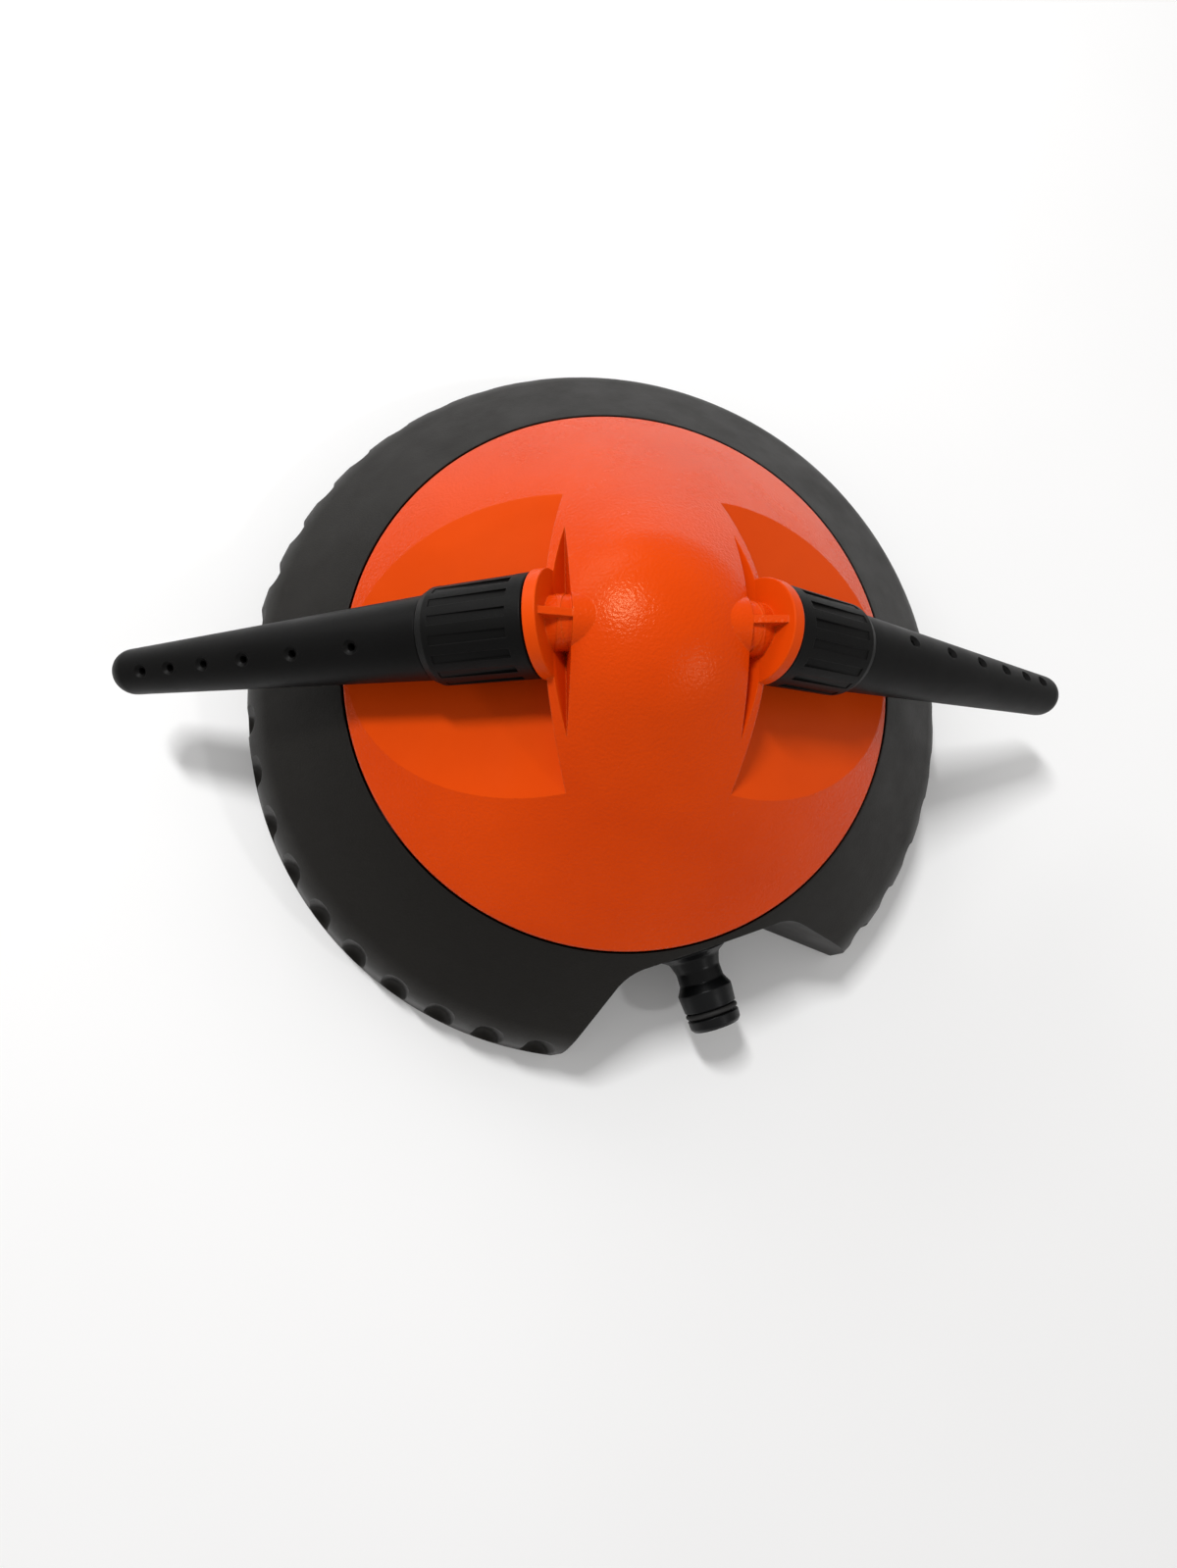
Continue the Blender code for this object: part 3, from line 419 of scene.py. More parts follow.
def moulded(name, colour, shade_colour, edge_colour, roughness, grain, grain_depth, edge, specular, tint):
    """Moulded plastic: pebbled grain, slow colour drift, scuffed edges and uneven gloss."""
    material, tree, shader = node_material(name)
    place = tree.nodes.new("ShaderNodeTexCoord").outputs["Object"]
    drift = ranged(tree, noise(tree, place, 22.0, 4.0), 0.35, 0.68, 0.0, 1.0)
    base = mixed(tree, drift, colour, shade_colour)
    soft = linked(tree, "ShaderNodeBevel", {"Radius": edge}, samples=6)
    flat = tree.nodes.new("ShaderNodeNewGeometry").outputs["Normal"]
    sides = {0: soft.outputs["Normal"], 1: flat}
    facing = linked(tree, "ShaderNodeVectorMath", sides, operation="DOT_PRODUCT")
    rim = ranged(tree, facing.outputs["Value"], 0.995, 0.8, 0.0, 0.5)
    worn = linked(
        tree,
        "ShaderNodeMath",
        {0: rim, 1: ranged(tree, noise(tree, place, 160.0, 4.0), 0.35, 0.7, 0.35, 1.0)},
        operation="MULTIPLY",
    )
    coloured = mixed(tree, worn.outputs[0], base, edge_colour)
    tree.links.new(coloured, shader.inputs["Base Color"])
    pebble = noise(tree, place, grain, 2.5, 0.5)
    smear = noise(tree, place, 60.0, 5.0, 0.6)
    gloss = ranged(tree, smear, 0.3, 0.7, roughness - 0.05, roughness + 0.06)
    tree.links.new(gloss, shader.inputs["Roughness"])
    wave = linked(
        tree,
        "ShaderNodeBump",
        {"Strength": 0.25, "Distance": 0.25 * MM, "Height": smear, "Normal": soft.outputs["Normal"]},
    )
    bump = linked(
        tree,
        "ShaderNodeBump",
        {"Strength": 1.0, "Distance": grain_depth, "Height": pebble, "Normal": wave.outputs["Normal"]},
    )
    tree.links.new(bump.outputs["Normal"], shader.inputs["Normal"])
    shader.inputs["IOR"].default_value = 1.49
    shader.inputs["Specular IOR Level"].default_value = specular
    shader.inputs["Specular Tint"].default_value = (*tint, 1.0)
    return material


def turned_metal(name, colour, shade_colour, roughness):
    """Turned metal: fine rings across the axis, with tarnish in patches."""
    material, tree, shader = node_material(name)
    place = tree.nodes.new("ShaderNodeTexCoord").outputs["Object"]
    tarnish = ranged(tree, noise(tree, place, 180.0, 5.0), 0.4, 0.7, 0.0, 1.0)
    tree.links.new(mixed(tree, tarnish, colour, shade_colour), shader.inputs["Base Color"])
    rings = linked(
        tree,
        "ShaderNodeTexWave",
        {"Vector": place, "Scale": 900.0, "Distortion": 0.6, "Detail": 2.0},
        wave_type="BANDS",
        bands_direction="Z",
    )
    relief = {"Strength": 0.3, "Distance": 0.03 * MM, "Height": rings.outputs["Fac"]}
    bump = linked(tree, "ShaderNodeBump", relief)
    tree.links.new(bump.outputs["Normal"], shader.inputs["Normal"])
    tree.links.new(ranged(tree, tarnish, 0.0, 1.0, roughness, roughness + 0.2), shader.inputs["Roughness"])
    shader.inputs["Metallic"].default_value = 1.0
    return material


def black(name, roughness, grain, grain_depth, edge, specular, tint=(1, 1, 1)):
    return moulded(name, *BLACKS[name], roughness, grain, grain_depth, edge, specular, tint)


orange_grained = moulded(
    "orange_grained",
    ORANGE,
    ORANGE_SHADE,
    ORANGE_EDGE,
    roughness=0.25,
    grain=1150.0,
    grain_depth=0.17 * MM,
    edge=0.45 * MM,
    specular=0.17,
    tint=WARM,
)
orange_smooth = moulded(
    "orange_smooth",
    SMOOTH_ORANGE,
    SMOOTH_SHADE,
    ORANGE_EDGE,
    roughness=0.34,
    grain=2200.0,
    grain_depth=0.02 * MM,
    edge=0.45 * MM,
    specular=0.12,
    tint=WARM,
)
base_black = black("base_black", 0.50, 1900.0, 0.05 * MM, 0.7 * MM, 0.24, (1.0, 0.95, 0.88))
arm_black = black("arm_black", 0.44, 2200.0, 0.03 * MM, 0.3 * MM, 0.10)
collar_black = black("collar_black", 0.46, 2000.0, 0.035 * MM, 0.25 * MM, 0.11)
inlet_black = black("inlet_black", 0.34, 2200.0, 0.02 * MM, 0.3 * MM, 0.22)
ring_rubber = black("ring_rubber", 0.62, 1200.0, 0.05 * MM, 0.2 * MM, 0.3)
washer_nylon = moulded("washer_nylon", *NYLON, 0.45, 1400.0, 0.02 * MM, 0.2 * MM, 0.3, (1, 1, 1))
spindle_brass = turned_metal("spindle_brass", (0.72, 0.50, 0.20), (0.45, 0.30, 0.13), 0.26)
screw_steel = turned_metal("screw_steel", (0.62, 0.62, 0.60), (0.40, 0.39, 0.37), 0.28)


# ---------------------------------------------------------------- shared shapes


def cone_height(radius):
    """Height of the outer cone, which eases off a little towards the crown."""
    inward = DOME_RADIUS - radius
    return DOME_RIM_Z + math.tan(CONE_ANGLE) * inward - CONE_EASE * max(inward, 0) ** 2


def cone_slope(radius):
    return math.atan(math.tan(CONE_ANGLE) - 2 * CONE_EASE * max(DOME_RADIUS - radius, 0))


def arm_matrix(side):
    """Right-hand arm frame for side 1, left-hand for side -1: +Z outward along the arm, +X down."""
    turn = Matrix.Rotation(REST_TURN + (0 if side > 0 else math.pi), 4, "Z")
    droop = Matrix.Rotation(QUARTER_TURN + ARM_DROOP, 4, "Y")
    return turn @ Matrix.Translation((ARM_X, 0, ARM_Z)) @ droop


def level_matrix(side):
    """Frame of the level water tube: +Z outward towards the right arm for side 1, the left for -1."""
    turn = Matrix.Rotation(REST_TURN, 4, "Z")
    return turn @ Matrix.Translation((0, 0, CROSS_TUBE_Z)) @ Matrix.Rotation(side * QUARTER_TURN, 4, "Y")


def plate_x(height, along):
    """How far out a plane square to the arm's axis is at a height; along is its place on that axis."""
    return ARM_X + (along + (height - ARM_Z) * math.sin(ARM_DROOP)) / math.cos(ARM_DROOP)


def shoulder_arc(inset, count):
    """The arc that meets both the cone and the steep wall."""
    slope = math.tan(CONE_ANGLE)
    lean = math.tan(WALL_DRAFT)
    corner_z = (DOME_RIM_Z - slope * (BASE_RADIUS - DOME_RADIUS)) / (1 - slope * lean)
    corner_r = BASE_RADIUS - lean * corner_z
    tangent = SHOULDER_RADIUS * math.tan((QUARTER_TURN - CONE_ANGLE - WALL_DRAFT) / 2)
    centre_r = corner_r - tangent * math.cos(CONE_ANGLE) - SHOULDER_RADIUS * math.sin(CONE_ANGLE)
    centre_z = corner_z + tangent * math.sin(CONE_ANGLE) - SHOULDER_RADIUS * math.cos(CONE_ANGLE)
    start = 90 - math.degrees(CONE_ANGLE)
    return arc((centre_r, centre_z), SHOULDER_RADIUS - inset, start, math.degrees(WALL_DRAFT), count)


def dome_profile(inset, end_radius, crown_points, cone_steps):
    """The dome from its crown, a round cap, down the cone; inset moves it inward by a wall."""
    angle = cone_slope(CROWN_START)
    radius = CROWN_START / math.sin(angle)
    centre = (0, cone_height(CROWN_START) - radius * math.cos(angle))
    profile = arc(centre, radius - inset, 90, 90 - math.degrees(angle), crown_points)
    profile[0] = (0, profile[0][1])
    for i in range(1, cone_steps + 1):
        r = CROWN_START + (end_radius - CROWN_START) * i / cone_steps
        slope = cone_slope(r)
        profile.append((r - inset * math.sin(slope), cone_height(r) - inset * math.cos(slope)))
    return profile


# ---------------------------------------------------------------- base


def notch_cutter(inset):
    """The notch in plan: a flat back, a bend each side and spreading sides to an open front."""
    centre_y = -NOTCH_BACK - NOTCH_BEND
    lean = 90 - math.degrees(NOTCH_SPREAD)
    bend = arc((NOTCH_HALF_FLAT, centre_y), NOTCH_BEND + inset, lean, 90, 24)
    reach_x = bend[0][0] + NOTCH_REACH * math.cos(NOTCH_SPREAD)
    right = [(reach_x, bend[0][1] - NOTCH_REACH * math.sin(NOTCH_SPREAD))] + bend
    left = [(-x, y) for x, y in reversed(right)]
    outline = [Vector((x, y, NOTCH_BOTTOM)) for x, y in right + left]
    return prism("notch", outline, Vector((0, 0, NOTCH_RISE)))


def build_base():
    """Cone with its drum, deck, hub, ribs and screw bosses, the channel under it, notch and scoops."""
    edge_z = cone_height(DRUM_INNER)
    start_r = DRUM_INNER + 0.4 * MM
    outside = [(DRUM_INNER, edge_z - 0.5 * MM), (DRUM_INNER + 0.12 * MM, edge_z - 0.2 * MM)]
    outside += [(start_r, cone_height(start_r))]
    first = shoulder_arc(0, 14)
    for i in range(1, 8):
        r = start_r + (first[0][0] - start_r) * i / 8
        outside.append((r, cone_height(r)))
    outside += first
    outside += [(BASE_RADIUS - 0.05 * MM, 0.5 * MM), (BASE_RADIUS - 0.5 * MM, 0)]
    outside += [(DRUM_INNER, 0), (DRUM_INNER, DECK_BOTTOM), (HUB_OUTER, DECK_BOTTOM)]
    outside += [(HUB_OUTER, HUB_BOTTOM), (HUB_INNER, HUB_BOTTOM), (HUB_INNER, DECK_BOTTOM)]
    outside += [(DECK_HOLE, DECK_BOTTOM), (DECK_HOLE, DECK_TOP), (DRUM_INNER, DECK_TOP)]
    shell = turned("base_moulding", outside, FINE)

    below = -1 * MM
    roof = cone_height(DRUM_OUTER) - BASE_WALL / math.cos(CONE_ANGLE)
    foot = BASE_RADIUS - BASE_WALL / math.cos(WALL_DRAFT) - math.tan(WALL_DRAFT) * below
    hollow = [(DRUM_OUTER, roof)] + shoulder_arc(BASE_WALL, 10) + [(foot, below), (DRUM_OUTER, below)]
    channel = turned("channel", hollow, FINE)
    cut(channel, notch_cutter(NOTCH_WALL))

    extras = []
    for degrees in RIB_DEGREES:
        low = (HUB_OUTER - LAP, -RIB_HALF, RIB_BOTTOM)
        high = (DRUM_INNER + LAP, RIB_HALF, DECK_BOTTOM + LAP)
        extras.append(block("rib", low, high, Matrix.Rotation(math.radians(degrees), 4, "Z")))
    spots = [(x, y) for x in (-SCREW_AT, SCREW_AT) for y in (-SCREW_AT, SCREW_AT)]
    for x, y in spots:
        spot = Matrix.Translation((x, y, 0))
        extras.append(rod("boss", BOSS_RADIUS, HUB_BOTTOM, DECK_BOTTOM + LAP, SMALL, spot))
    pilots = []
    for x, y in spots:
        spot = Matrix.Translation((x, y, 0))
        pilots.append(rod("pilot", PILOT_RADIUS, 0, PILOT_TOP, SMALL, spot))
    level = Matrix.Translation((0, 0, INLET_Z)) @ Matrix.Rotation(QUARTER_TURN, 4, "X")
    hole = rod("hole", INLET_HOLE_RADIUS, INLET_HOLE_START, INLET_HOLE_END, ROUND, level)
    low = (-INLET_HOLE_RADIUS, -HUB_OUTER - 2 * MM, 0)
    slot = block("slot", low, (INLET_HOLE_RADIUS, -20 * MM, INLET_Z))

    middle = (SCOOP_TOP + SCOOP_BOTTOM) / 2
    reach = (SCOOP_TOP - SCOOP_BOTTOM) / 2 - SCOOP_RADIUS
    ends = arc((0, reach), SCOOP_RADIUS, 90, 0, 12) + arc((0, -reach), SCOOP_RADIUS, 0, -90, 12)
    ends[0] = (0, reach + SCOOP_RADIUS)
    ends[-1] = (0, -reach - SCOOP_RADIUS)
    capsule = turned("capsule", ends, SCOOP_STEPS, False)
    out = BASE_RADIUS - math.tan(WALL_DRAFT) * middle + SCOOP_RADIUS - SCOOP_DEPTH
    matrices = []
    for i in range(SCOOP_COUNT):
        sweep = 2 * (math.pi - SCOOP_FIRST) * i / (SCOOP_COUNT - 1)
        turn = Matrix.Rotation(SCOOP_FIRST + sweep - QUARTER_TURN, 4, "Z")
        matrices.append(turn @ Matrix.Translation((out, 0, middle)) @ Matrix.Rotation(-WALL_DRAFT, 4, "Y"))
    scoops = gathered("scoops", capsule, matrices)

    cut(shell, notch_cutter(0), channel)
    join(shell, *extras)
    cut(shell, hole, slot, *pilots, scoops)
    shade(shell, 22)
    dress(shell, "base", "black_plastic", base_black, replaces=("base_shell",))


def build_inlet():
    """Hose tail with its rounded tip, groove, latch ridge, neck and flare, and its O-ring."""
    place = Matrix.Translation((0, -NOTCH_BACK, INLET_Z)) @ Matrix.Rotation(QUARTER_TURN, 4, "X")
    low = NIPPLE_SEAL_AT - SEAL_GROOVE_HALF
    high = NIPPLE_SEAL_AT + SEAL_GROOVE_HALF
    points = [(NIPPLE_BORE, NIPPLE_TIP), (7.35 * MM, NIPPLE_TIP), (8.25 * MM, 25.5 * MM)]
    points += [(8.4 * MM, high), (SEAL_GROOVE_RADIUS, high)]
    radii = [0.4, 0.5, 0.9, 0.3, 0.15]
    points += [(SEAL_GROOVE_RADIUS, low), (8.4 * MM, low), (8.75 * MM, 16.2 * MM), (8.85 * MM, 14.4 * MM)]
    points += [(7.3 * MM, 11.6 * MM)]
    radii += [0.15, 0.3, 0.8, 0.7, 1.4]
    points += [(7.2 * MM, 7.6 * MM), (8.4 * MM, 3.9 * MM), (11 * MM, 2.2 * MM), (11 * MM, 0.3 * MM)]
    radii += [3, 2, 0.4, 0.2]
    points += [(7.7 * MM, 0.3 * MM), (7.7 * MM, -14 * MM), (NIPPLE_BORE, -14 * MM)]
    radii += [0.1, 0.4, 0.2]
    profile = rounded(points, [r * MM for r in radii], 7, closed=True)
    nipple = turned("hose_tail", profile, ROUND, matrix=place)
    shade(nipple, 40)
    dress(nipple, "base", "black_plastic", inlet_black, replaces=("hose_nipple",))
    circle = arc((7.75 * MM, NIPPLE_SEAL_AT), SEAL_RADIUS, 90, -255, 24)
    ring = turned("hose_tail_seal", circle, ROUND, matrix=place)
    shade(ring, 60)
    dress(ring, "base", "rubber", ring_rubber, replaces=("nipple_o_ring",))


# ---------------------------------------------------------------- rotor


def slot_cutter(turn, side, wall):
    """Wedge between the ridge's upright flank and the leaning wings, or the walls around it."""
    foot = ARM_Z + ((RIDGE_HALF - ARM_X) * math.cos(ARM_DROOP) - PLATE_BACK_AT) / math.sin(ARM_DROOP)
    low = foot - 1.4 * wall
    wing_top = RIDGE_HALF + (SLOT_TOP - foot) * math.tan(SLOT_LEAN)
    outline = [(RIDGE_HALF - wall, low), (RIDGE_HALF - wall, SLOT_TOP), (wing_top, SLOT_TOP)]
    if wall > 0:
        outline.append((RIDGE_HALF + wall, low))
    points = [Vector((side * x, -SLOT_HALF, z)) for x, z in outline]
    return prism("slot", points, Vector((0, 2 * SLOT_HALF, 0)), turn)


def build_dome():
    """Dome with its ridge bump, and with a pocket, slot, flange, web and tube cover for each arm."""
    turn = Matrix.Rotation(REST_TURN, 4, "Z")
    rim = [(DOME_RADIUS, DOME_RIM_Z - 0.3 * MM), (DOME_RADIUS - 0.05 * MM, DOME_RIM_Z - 1 * MM)]
    rim += [(DOME_RADIUS - 0.3 * MM, DOME_LIP_Z), (0, DOME_LIP_Z)]
    profile = dome_profile(0, DOME_RADIUS - 0.35 * MM, 28, 26) + rim
    dome = turned("dome_moulding", profile, FINE, False, turn)

    below = DOME_LIP_Z - 1 * MM
    inside = dome_profile(DOME_WALL, DOME_RADIUS - 1 * MM, 10, 6) + [(LIP_INNER, below), (0, below)]
    cavity = turned("cavity", inside, FINE, False, turn)
    across = level_matrix(1)
    bump = rod("bump", BUMP_RADIUS, -RIDGE_HALF - 1.5 * MM, RIDGE_HALF + 1.5 * MM, SLEEK, across)
    pockets = []
    flanges = []
    slots = []
    webs = []
    tubes = []
    for side in (1, -1):
        axis = arm_matrix(side)
        low = (-POCKET_UP, -POCKET_SIDE, POCKET_WALL_AT)
        pockets.append(block("pocket", low, (POCKET_FLOOR, POCKET_SIDE, POCKET_OUT), axis))
        back = FLANGE_BACK_AT
        disc = [(0, FLANGE_FACE_AT), (FLANGE_RADIUS, FLANGE_FACE_AT), (FLANGE_RADIUS, back), (0, back)]
        disc = rounded(disc, [0, 0.5 * MM, 0.35 * MM, 0], 6)
        flanges.append(turned("flange", disc, SLEEK, False, axis))
        slots.append(slot_cutter(turn, side, 0))
        level = level_matrix(side)
        webs.append(rod("tunnel", TUNNEL_RADIUS, RIDGE_HALF - LAP, BEND_X + TUNNEL_LAP, ROUND, level))
        webs.append(rod("tunnel", TUNNEL_RADIUS, BEND_ALONG - TUNNEL_LAP, back + LAP, ROUND, axis))
        start = RIDGE_HALF - 0.5 * MM
        bite = FLANGE_BACK_AT + 1.5 * MM
        outline = [(start, WEB_FOOT), (start, WEB_TOP)]
        outline += [(plate_x(WEB_END_TOP, bite), WEB_END_TOP), (plate_x(WEB_FOOT, bite), WEB_FOOT)]
        points = [Vector((side * x, -WEB_HALF, z)) for x, z in outline]
        webs.append(prism("web", points, Vector((0, 2 * WEB_HALF, 0)), turn))
        low = (-POCKET_UP, -POCKET_SIDE, PLATE_BACK_AT - DOME_WALL)
        under = block("under", low, (POCKET_FLOOR + DOME_WALL, POCKET_SIDE, POCKET_OUT), axis)
        cut(cavity, slot_cutter(turn, side, DOME_WALL), under)
        tubes.append(rod("tube", TUBE_HOLE_RADIUS, -38 * MM, -25 * MM, ROUND, axis))
    for y in (-DOME_SCREW_AT, DOME_SCREW_AT):
        boss = turn @ Matrix.Translation((0, y, 0))
        cut(cavity, rod("boss", BOSS_RADIUS, LUG_TOP + LUG_GAP, 120 * MM, SMALL, boss))
    tubes.append(rod("tube", TUBE_HOLE_RADIUS, -26 * MM, 26 * MM, ROUND, across))

    cut(dome, *pockets)
    join(dome, bump)
    cut(dome, *slots)
    join(dome, *flanges, *webs)
    cut(dome, cavity, *tubes)
    shade(dome, 9)
    dress(dome, "rotor", "orange_plastic", orange_grained, orange_smooth, replaces=("rotor_dome",))
    smooth_pockets(dome)


def smooth_pockets(dome):
    """The pockets and flanges are smooth orange, the rest is grained; the flanges' faces are flat."""
    frames = [arm_matrix(side).inverted() for side in (1, -1)]
    for face in dome.data.polygons:
        for inverse in frames:
            local = inverse @ face.center
            facing = inverse.to_3x3() @ face.normal
            in_pocket = local.z > POCKET_WALL_AT - 0.02 * MM and local.x < POCKET_FLOOR + 0.05 * MM
            near_axis = math.hypot(local.x, local.y) < FLANGE_RADIUS + 0.05 * MM
            on_flange = near_axis and local.z > PLATE_BACK_AT - 0.1 * MM
            if in_pocket or on_flange:
                face.material_index = 1
            if on_flange and abs(facing.z) > FLAT:
                face.use_smooth = False


def build_manifold():
    """Water hub with its cross tube, elbows, spigots and screw lugs, inside the dome and the arms."""
    turn = Matrix.Rotation(REST_TURN, 4, "Z")
    hub = rod("water_tube", HUB_RADIUS, HUB_LOW, HUB_TOP, ROUND, turn)
    pieces = [rod("tube", TUBE_RADIUS, -BEND_X, BEND_X, ROUND, level_matrix(1))]
    for side in (1, -1):
        axis = arm_matrix(side)
        elbow = turn @ Matrix.Translation((side * BEND_X, 0, CROSS_TUBE_Z))
        ball = [(0, TUBE_RADIUS)] + arc((0, 0), TUBE_RADIUS, 85, -85, 30) + [(0, -TUBE_RADIUS)]
        pieces.append(turned("elbow", ball, ROUND, False, elbow))
        lip = TUBE_RADIUS + SPIGOT_STEP
        groove = TUBE_RADIUS - SPIGOT_STEP
        points = [(0, BEND_ALONG), (TUBE_RADIUS, BEND_ALONG), (TUBE_RADIUS, LIP_START), (lip, LIP_START)]
        points += [(lip, LIP_END), (TUBE_RADIUS, LIP_END), (TUBE_RADIUS, GROOVE_START)]
        points += [(groove, GROOVE_START), (groove, GROOVE_END), (TUBE_RADIUS, GROOVE_END)]
        points += [(TUBE_RADIUS, SPIGOT_END), (0, SPIGOT_END)]
        pieces.append(turned("spigot", points[::-1], ROUND, False, axis))
    low = (-LUG_HALF_X, -LUG_HALF_Y, LUG_BOTTOM)
    pieces.append(block("lugs", low, (LUG_HALF_X, LUG_HALF_Y, LUG_TOP), turn))
    join(hub, *pieces)
    cut(hub, rod("room", ROOM_RADIUS, HUB_CUT_START, ROOM_TOP, ROUND, turn))
    cut(hub, rod("chamber", CHAMBER_RADIUS, HUB_CUT_START, CHAMBER_TOP, ROUND, turn))
    for y in (-DOME_SCREW_AT, DOME_SCREW_AT):
        spot = turn @ Matrix.Translation((0, y, 0))
        cut(hub, rod("hole", PILOT_RADIUS, 80 * MM, 95 * MM, SMALL, spot))
    shade(hub, 30)
    dress(hub, "rotor", "orange_plastic", orange_smooth, replaces=("water_manifold",))


# ---------------------------------------------------------------- arms


def jet_matrices():
    """Places of the jets on the arm's upper side, closer together towards the tip."""
    matrices = []
    along = JET_FIRST
    pitch = JET_PITCH
    taper = (ARM_RADIUS - TIP_RADIUS) / TIP_CENTRE
    lean = Matrix.Rotation(math.pi - JET_LEAN, 4, "Z") @ Matrix.Rotation(QUARTER_TURN, 4, "Y")
    for _ in range(JET_COUNT):
        surface = ARM_RADIUS - taper * along
        matrices.append(Matrix.Translation((0, 0, along)) @ lean @ Matrix.Translation((0, 0, surface)))
        along += pitch
        pitch *= JET_PITCH_RATIO
    return matrices


def build_arm(side, label):
    """One tapering spray arm with its jets, and its ribbed collar."""
    axis = arm_matrix(side)
    tip = arc((0, TIP_CENTRE), TIP_RADIUS, 90, 3.5, 16)
    tip[0] = (0, TIP_CENTRE + TIP_RADIUS)
    taper = []
    for i in range(1, 8):
        t = i / 8
        taper.append((TIP_RADIUS + (ARM_RADIUS - TIP_RADIUS) * t, TIP_CENTRE * (1 - t)))
    outside = taper + [(ARM_RADIUS, 0.25 * MM), (ARM_RADIUS - 0.25 * MM, 0), (SHANK_RADIUS, 0)]
    outside += [(SHANK_RADIUS, SHANK_START)]
    inside = [(TUBE_HOLE_RADIUS, SHANK_START), (TUBE_HOLE_RADIUS, -6 * MM)]
    inside += [(ARM_RADIUS - ARM_WALL, -2 * MM)]
    inside += [(TIP_RADIUS - ARM_WALL, TIP_CENTRE), (0, TIP_CENTRE + 2 * MM)]
    tube = turned(f"spray_arm_{label}", tip + outside + inside, ROUND, False, axis)
    dish = [(0, 2 * MM), (2.9 * MM, 2 * MM), (2.4 * MM, 0.2 * MM)]
    dish += [(1.7 * MM, -0.55 * MM), (1.05 * MM, -0.9 * MM)]
    dish += [(0.95 * MM, -1.4 * MM), (0.95 * MM, -4 * MM), (0, -4 * MM)]
    jet = turned("jet", dish, SMALL, False)
    cut(tube, gathered("jets", jet, [axis @ m for m in jet_matrices()]))
    shade(tube, 30)
    dress(tube, f"{label}_arm", "arm_plastic", arm_black, replaces=(f"arm_tube_{label}",))

    points = [(COLLAR_BORE, COLLAR_END), (11.9 * MM, COLLAR_END)]
    points += [(COLLAR_OUTER_RADIUS, -2.6 * MM), (COLLAR_RADIUS, COLLAR_START)]
    points += [(COLLAR_LIP_BORE, COLLAR_START), (COLLAR_LIP_BORE, COLLAR_LIP_AT)]
    points += [(COLLAR_BORE, COLLAR_LIP_AT)]
    outline = rounded(points, [r * MM for r in (0.1, 0.3, 1.2, 0.5, 0.2, 0.2, 0.2)], 6, closed=True)
    collar = turned(f"ribbed_collar_{label}", outline, 12 * FLUTE_COUNT, matrix=axis)
    low = (COLLAR_OUTER_RADIUS - FLUTE_DEPTH, -FLUTE_HALF, FLUTE_START)
    groove = block("groove", low, (15 * MM, FLUTE_HALF, FLUTE_END))
    turns = [axis @ Matrix.Rotation(2 * math.pi * i / FLUTE_COUNT, 4, "Z") for i in range(FLUTE_COUNT)]
    cut(collar, gathered("grooves", groove, turns))
    shade(collar, 25)
    dress(collar, f"{label}_arm", "arm_plastic", collar_black, replaces=(f"arm_collar_{label}",))


# ---------------------------------------------------------------- inner pieces keep their CAD shapes

CAD_FINISH = {
    "hub_cover": base_black,
    "inlet_elbow": inlet_black,
    "nipple_gasket": ring_rubber,
    "spindle": spindle_brass,
    "spindle_gasket": ring_rubber,
    "wear_washer": washer_nylon,
    "bearing_nut": base_black,
    "spindle_seal": ring_rubber,
    "thrust_washer": washer_nylon,
    "arm_o_ring_left": ring_rubber,
    "arm_o_ring_right": ring_rubber,
}


def finish_inner_pieces():
    for name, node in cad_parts.items():
        material = CAD_FINISH.get(name, screw_steel if "screw" in name else None)
        if material is None:
            continue
        node.data.materials.clear()
        node.data.materials.append(material)


# ---------------------------------------------------------------- floor, light and camera


FLOOR_HALF = 3
FLOOR_BOTTOM = -20 * MM
FLOOR_TOP = -0.2 * MM
SKY_COLOUR = (1.0, 0.99, 0.98, 1.0)
SKY_STRENGTH = 0.45
AIM_HEIGHT = 70 * MM

# Name, azimuth and elevation in degrees, distance, width and height in metres, power in watts.
LIGHTS = (
    ("far_low", 104, 24, 1.4, 1.1, 0.40, 4.6),
    ("key", 112, 60, 1.1, 0.08, 0.24, 7.8),
    ("side", -48, 47, 1.3, 0.10, 0.10, 1.8),
)


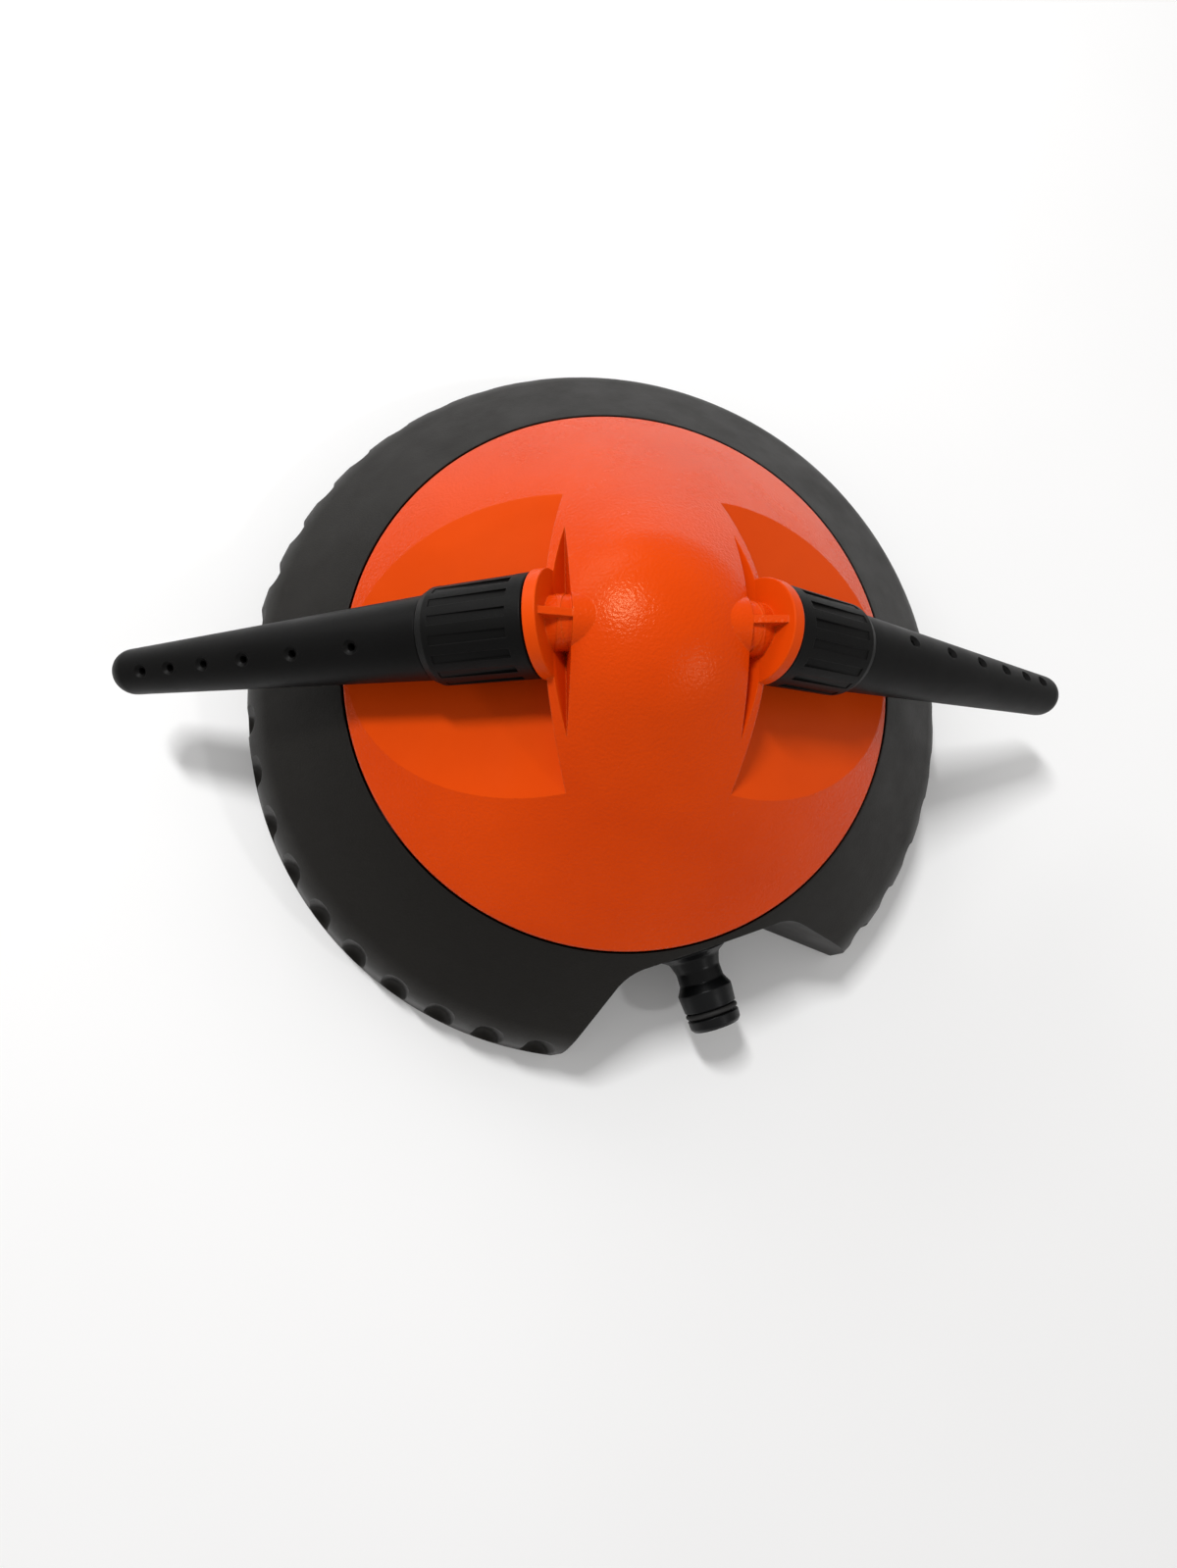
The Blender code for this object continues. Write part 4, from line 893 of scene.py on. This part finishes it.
def build_stage():
    """Pale floor just under the object, an even sky and three soft lights."""
    floor = block("floor", (-FLOOR_HALF, -FLOOR_HALF, FLOOR_BOTTOM), (FLOOR_HALF, FLOOR_HALF, FLOOR_TOP))
    material, tree, shader = node_material("studio_floor")
    place = tree.nodes.new("ShaderNodeTexCoord").outputs["Object"]
    tone = ranged(tree, noise(tree, place, 3.0, 4.0), 0.3, 0.7, 0.0, 1.0)
    tree.links.new(mixed(tree, tone, (0.90, 0.90, 0.90), (0.93, 0.93, 0.93)), shader.inputs["Base Color"])
    shader.inputs["Roughness"].default_value = 0.9
    shader.inputs["Specular IOR Level"].default_value = 0.1
    floor.data.materials.append(material)

    world = bpy.data.worlds.new("studio")
    bpy.context.scene.world = world
    world.use_nodes = True
    background = world.node_tree.nodes["Background"]
    background.inputs["Color"].default_value = SKY_COLOUR
    background.inputs["Strength"].default_value = SKY_STRENGTH
    for light in LIGHTS:
        add_light(*light)


def add_light(name, azimuth, elevation, distance, width, height, power):
    """Area light that faces the object; azimuth is counted from +X, elevation from the floor."""
    data = bpy.data.lights.new(name, "AREA")
    data.shape = "RECTANGLE"
    data.size = width
    data.size_y = height
    data.energy = power
    light = bpy.data.objects.new(name, data)
    bpy.context.scene.collection.objects.link(light)
    az = math.radians(azimuth)
    el = math.radians(elevation)
    direction = Vector((math.cos(el) * math.cos(az), math.cos(el) * math.sin(az), math.sin(el)))
    light.location = direction * distance + Vector((0, 0, AIM_HEIGHT))
    light.rotation_euler = direction.to_track_quat("Z", "Y").to_euler()


# The camera stands a little left of the object and in front of it, and looks down.
CAMERA_AT = Vector((-77.1, -60.4, 340.4)) * MM
VIEW_RIGHT = Vector((0.93923, -0.30954, 0.14842))
VIEW_UP = Vector((0.28633, 0.94489, 0.15868))
LENS = 23.03
SENSOR_WIDTH = 36


def build_camera():
    data = bpy.data.cameras.new("camera")
    data.lens = LENS
    data.sensor_width = SENSOR_WIDTH
    data.clip_start = 0.01
    camera = bpy.data.objects.new("camera", data)
    bpy.context.scene.collection.objects.link(camera)
    right = VIEW_RIGHT.normalized()
    back = right.cross(VIEW_UP).normalized()
    up = back.cross(right)
    camera.matrix_world = Matrix.Translation(CAMERA_AT) @ Matrix((right, up, back)).transposed().to_4x4()
    bpy.context.scene.camera = camera
    bpy.context.scene.view_settings.view_transform = "Standard"


build_base()
build_inlet()
build_dome()
build_manifold()
build_arm(1, "right")
build_arm(-1, "left")
finish_inner_pieces()
build_stage()
build_camera()
